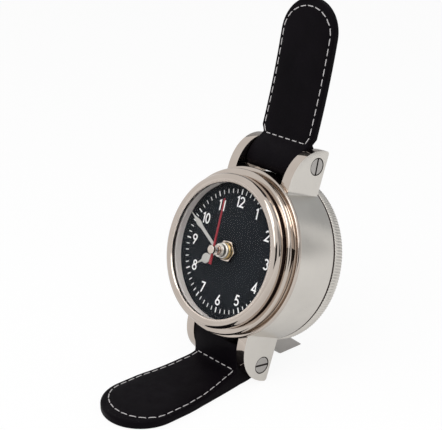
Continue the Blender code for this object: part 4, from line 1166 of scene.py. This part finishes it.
# The straps' mesh: insets of its lines from the edge and from the seam, and shares for the rest
ROUND_INSETS = (0.0, 0.00003, 0.00012, 0.00028, 0.0005, 0.0008, 0.0011, EDGE_ROUND)
SEAM_INSETS = (-0.0007, -0.0003, 0.0, 0.0003, 0.0007)
INNER_SHARES = (0.9, 0.8, 0.6, 0.4, 0.2)
ROW_STEP = 0.0012
FINE_STEP = 0.0004
FINE_REACH = 0.0040
TIP_MARGIN = 0.0005
TIP_GAP = 0.000002
NARROW_HALF = 0.0060


def strap_rows(strap):
    """Distances of the strap's rows, closer together at the bend and round the tip."""
    rows = []
    distance = 0.0
    while distance < strap.tip - TIP_MARGIN:
        rows.append(distance)
        near = abs(distance - strap.bend) < FINE_REACH
        distance += FINE_STEP if near else ROW_STEP
    steps = 30
    for step in range(steps + 1):
        angle = 0.5 * math.pi * step / steps
        rows.append(strap.tip + min(strap.radius * math.sin(angle), strap.radius - TIP_GAP))
    return rows


def strap_mesh(strap):
    """One closed strap with rounded edges, a seam groove and a soft crown."""
    shape = bmesh.new()
    rings = []
    insets = ROUND_INSETS + tuple(strap.inset + shift for shift in SEAM_INSETS)
    for distance in strap_rows(strap):
        half = strap.at(distance)[2]
        scale = min(1.0, half / NARROW_HALF)
        right = [half - inset * scale for inset in insets]
        right += [right[-1] * share for share in INNER_SHARES]
        across = [-x for x in right] + [0.0] + right[::-1]
        ring = [shape.verts.new(strap.spot(x, distance, True)) for x in across]
        ring += [shape.verts.new(strap.spot(x, distance, False)) for x in reversed(across)]
        rings.append(ring)
    bridge(shape, rings)
    shape.faces.new(rings[0])
    shape.faces.new(reversed(rings[-1]))
    return shape


# The stitches
STITCH_PITCH = 0.0062
STITCH_LENGTH = 0.0050
STITCH_RADIUS = 0.00034
STITCH_STEPS = 12
STITCH_SIDES = 8
BEND_ROW_SCALE = 0.9
AHEAD = 0.0002


def stitch_path(strap):
    """The seam as (x, distance) points: up one side, round the tip and back; and the bend's row."""
    points = []
    distance = strap.seam
    while distance < strap.tip:
        points.append((strap.inset - strap.at(distance)[2], distance))
        distance += FINE_STEP
    radius = strap.radius - strap.inset
    steps = 60
    for step in range(steps + 1):
        angle = math.pi * step / steps
        points.append((-radius * math.cos(angle),
                       strap.tip + (radius - strap.tip_inset) * math.sin(angle)))
    while distance > strap.seam:
        distance -= FINE_STEP
        points.append((strap.at(distance)[2] - strap.inset, distance))
    side = points[0][0]
    row = [(side - 2 * side * step / 100, strap.seam) for step in range(101)]
    return points, row


def walk(points, pitch):
    """Stitch centres and directions along a flat path, evenly spaced."""
    lengths = [0.0]
    for first, second in zip(points, points[1:]):
        lengths.append(lengths[-1] + math.dist(first, second))
    count = max(1, round(lengths[-1] / pitch))
    pitch = lengths[-1] / count
    index = 0
    for number in range(count):
        target = (number + 0.5) * pitch
        while lengths[index + 1] < target:
            index += 1
        share = (target - lengths[index]) / (lengths[index + 1] - lengths[index])
        first, second = Vector(points[index]), Vector(points[index + 1])
        yield first.lerp(second, share), (second - first).normalized()


def add_stitch(shape, strap, centre, direction, length, is_front):
    """One thread stitch that rises from the leather and dives back into it."""
    rings = []
    for step in range(STITCH_STEPS + 1):
        share = 2.0 * step / STITCH_STEPS - 1.0
        flat = centre + direction * (0.5 * length * share)
        normal = strap.normal(flat.y, is_front)
        height = STITCH_RADIUS * (0.35 - 1.15 * share ** 8)
        base = strap.spot(flat.x, flat.y, is_front)
        spot = base + normal * height
        ahead = flat + direction * AHEAD
        along = (strap.spot(ahead.x, ahead.y, is_front) - base).normalized()
        across = along.cross(normal).normalized()
        width = STITCH_RADIUS * (1.0 - 0.35 * share ** 8)
        ring = []
        for turn in range(STITCH_SIDES):
            angle = math.tau * turn / STITCH_SIDES
            ring.append(shape.verts.new(spot + across * width * math.cos(angle)
                                        + normal * 0.85 * width * math.sin(angle)))
        rings.append(ring)
    bridge(shape, rings)
    shape.faces.new(rings[0])
    shape.faces.new(reversed(rings[-1]))


def make_straps():
    """Both strap halves with their stitches."""
    straps = (
        ("upper", Strap(upper_controls(), inset=0.0027, tip_inset=0.0026, seam_shift=-0.0004,
                        skew=0.0)),
        ("lower", Strap(lower_controls(), inset=0.0031, tip_inset=0.0034, seam_shift=-0.0012,
                        skew=0.0013)),
    )
    for level, strap in straps:
        piece("leather_" + level, strap_mesh(strap), LEATHER, "strap_leather", ["strap_" + level],
              sharp=40.0, matrix=STAND)
        shape = bmesh.new()
        loop, row = stitch_path(strap)
        for is_front in (True, False):
            for path, scale in ((loop, 1.0), (row, BEND_ROW_SCALE)):
                length = scale * scale * STITCH_LENGTH
                for centre, direction in walk(path, scale * STITCH_PITCH):
                    add_stitch(shape, strap, centre, direction, length, is_front)
        piece("stitches_" + level, shape, THREAD, "strap_leather", sharp=60.0, matrix=STAND)


# The foot, whose face lies against the cap's back
FOOT_FACE = CAP_BACK + 0.0003
FOOT_TOP = -0.0450
FOOT_HEEL = -0.0535
TOE_FORWARD = 0.0138
TOE_LENGTH = 0.0210
FOOT_EDGE = 0.0011


def make_foot():
    """The plated wedge foot with chamfered edges."""
    low_corner, high_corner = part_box("rear_foot")
    heel = head_to_stand(FOOT_HEEL, FOOT_FACE)
    toe = heel.x + TOE_FORWARD
    ground = low_corner[2] - DIAL_HEIGHT
    outline = [tuple(heel), (toe, ground), (toe + TOE_LENGTH, ground),
               tuple(head_to_stand(FOOT_TOP, FOOT_FACE))]
    item = raw_object("foot_wedge", prism(outline, low_corner[0], high_corner[0], "X"), STAND)
    bevel(item, FOOT_EDGE, 3, 20.0)
    # The foot's nickel is darkened as painted shade
    settle(item, SHADED_NICKEL, "polished_foot", ["rear_foot"], "back", 30.0)


# CAD nodes that keep their shape and get a better material
KEPT_NODES = (
    (STEEL, ("strap_bar_upper", "strap_bar_lower", "battery_contact_left",
             "battery_contact_right", "hour_wheel", "minute_wheel", "second_wheel",
             "foot_screw_left", "foot_screw_right")),
    (PLASTIC, ("movement_case", "movement_cover")),
    (RUBBER, ("rubber_washer",)),
    (SLEEVE, ("battery",)),
    (COPPER, ("coil_bobbin",)),
    (BOARD, ("circuit_board",)),
    (KNOB_WHITE, ("set_knob",)),
)


def dress_kept_nodes():
    """Paint the CAD nodes that stay."""
    for material, names in KEPT_NODES:
        for name in names:
            node = frame["nodes"][name]
            node.data.materials.clear()
            node.data.materials.append(material)


# The studio: lights hold their place, size, power and whether metal mirrors them, and cards their
# place, size and colour
LIGHTS = (
    ("key_light", (-0.55, -0.85, 0.95), 1.4, 2.1, False),
    ("fill_light", (1.1, -0.35, 0.75), 1.2, 2.1, False),
    ("top_light", (0.30, -0.30, 1.2), 0.7, 1.9, True),
    ("front_light", (0.20, -0.76, 0.94), 0.76, 2.2, True),
)
CARDS = (
    ("grey_card_back", (-0.50, 1.30, 0.62), (2.4, 1.2), (0.70, 0.72, 0.735)),
    ("grey_card_side", (1.10, 1.15, 0.50), (0.8, 0.95), (0.73, 0.74, 0.74)),
    ("dark_card_front", (0.93, -0.30, 0.46), (0.90, 0.46), (0.010, 0.008, 0.008)),
    ("dark_card_side", (0.76, 0.74, 0.07), (0.12, 0.32), (0.030, 0.025, 0.024)),
)
FLOOR_HALF = 3.0
FLOOR_HEIGHT = -0.0002
FLOOR_GREY = 0.82
FLOOR_GLOW = 1.06
MATT = 0.9
WORLD_LEVEL = 0.42
WORLD_SEEN = (("Camera", 1.0), ("Transmission", 0.80), ("Glossy", 0.80))
CAMERA_SHARE = 0.86
# How bright the metal sees the floor, from near the clock to far: darker near it as painted shade
FLOOR_SHADE_SHARES = (0.32, 0.58)
FLOOR_SHADE_RANGE = (0.12, 0.60)


def make_floor():
    """A pale floor that reads white to the camera and keeps a soft shadow; in reflections it
    darkens near the clock as painted shade.
    """
    floor = raw_object("studio_floor", flat_card(FLOOR_HALF, FLOOR_HALF),
                       Matrix.Translation((0.0, 0.0, FLOOR_HEIGHT)))
    material, tree, shader = start_material("studio_floor_white")
    feed(tree, shader, {"Base Color": (FLOOR_GREY, FLOOR_GREY, FLOOR_GREY, 1.0),
                        "Roughness": MATT})
    place = add(tree, "TexCoord", "Object", {})
    distance = add(tree, "VectorMath", "Value", {0: place}, operation="LENGTH")
    # Painted shade: reflections of the floor darken towards the clock
    mirrored = spread(tree, distance, *FLOOR_SHADE_SHARES, *FLOOR_SHADE_RANGE)
    seen = add(tree, "Math", "Value", {0: seen_by(tree, "Camera"), 1: CAMERA_SHARE},
               operation="MULTIPLY")
    share = multiply_add(tree, seen_by(tree, "Glossy"), mirrored, seen, use_clamp=True)
    glow = add(tree, "Emission", "Emission", {"Strength": FLOOR_GLOW})
    mix_surface(tree, share, shader.outputs["BSDF"], glow)
    floor.data.materials.append(material)
    floor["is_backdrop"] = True


def make_light(name, place, size, power, mirrored):
    """A soft area light aimed at the clock; the metal mirrors it only where asked."""
    light = bpy.data.lights.new(name, "AREA")
    light.shape = "DISK"
    light.size = size
    light.energy = power
    item = link(name, light)
    item.location = place
    item.rotation_euler = (DIAL - Vector(place)).to_track_quat("-Z", "Y").to_euler()
    item.visible_glossy = mirrored


def make_card(name, place, size, shade):
    """A matt card beside the set that gives the metal something to reflect."""
    aim = (DIAL - Vector(place)).to_track_quat("Z", "Y").to_matrix().to_4x4()
    card = raw_object(name, flat_card(0.5 * size[0], 0.5 * size[1]),
                      Matrix.Translation(place) @ aim)
    material, tree, shader = start_material(name + "_paint")
    feed(tree, shader, {"Base Color": (*shade, 1.0), "Roughness": MATT})
    card.data.materials.append(material)
    card.visible_camera = False
    card.visible_shadow = False
    card.visible_diffuse = False
    card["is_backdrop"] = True


def make_world():
    """A soft studio world that the camera, the metal and the glass see as near white."""
    world = bpy.data.worlds.new("studio")
    bpy.context.scene.world = world
    world.use_nodes = True
    tree = world.node_tree
    level = WORLD_LEVEL
    for kind, seen in WORLD_SEEN:
        level = multiply_add(tree, seen_by(tree, kind), seen - WORLD_LEVEL, level, use_clamp=True)
    feed(tree, tree.nodes["Background"], {"Color": (1.0, 1.0, 1.0, 1.0), "Strength": level})


def make_studio():
    """Floor, world, lights, cards and view transform."""
    make_floor()
    make_world()
    for light in LIGHTS:
        make_light(*light)
    for card in CARDS:
        make_card(*card)
    bpy.context.scene.view_settings.view_transform = "Standard"


def make_camera():
    """The camera at the photograph's angle."""
    data = bpy.data.cameras.new("camera")
    data.sensor_fit = "HORIZONTAL"
    data.sensor_width = CAMERA_SENSOR
    data.lens = CAMERA_LENS
    data.clip_start = CAMERA_NEAR
    camera = link("camera", data)
    camera.location = DIAL + CAMERA_OFFSET
    camera.rotation_euler = CAMERA_DIRECTION.to_track_quat("-Z", "Y").to_euler()
    bpy.context.scene.camera = camera


make_case()
make_glass()
make_numerals()
make_marks()
make_spindle()
make_hands()
make_lugs()
make_straps()
make_foot()
dress_kept_nodes()
make_studio()
make_camera()

corners = [[list(corner) for corner in bounds] for bounds in (CAD_BOUNDS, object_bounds())]
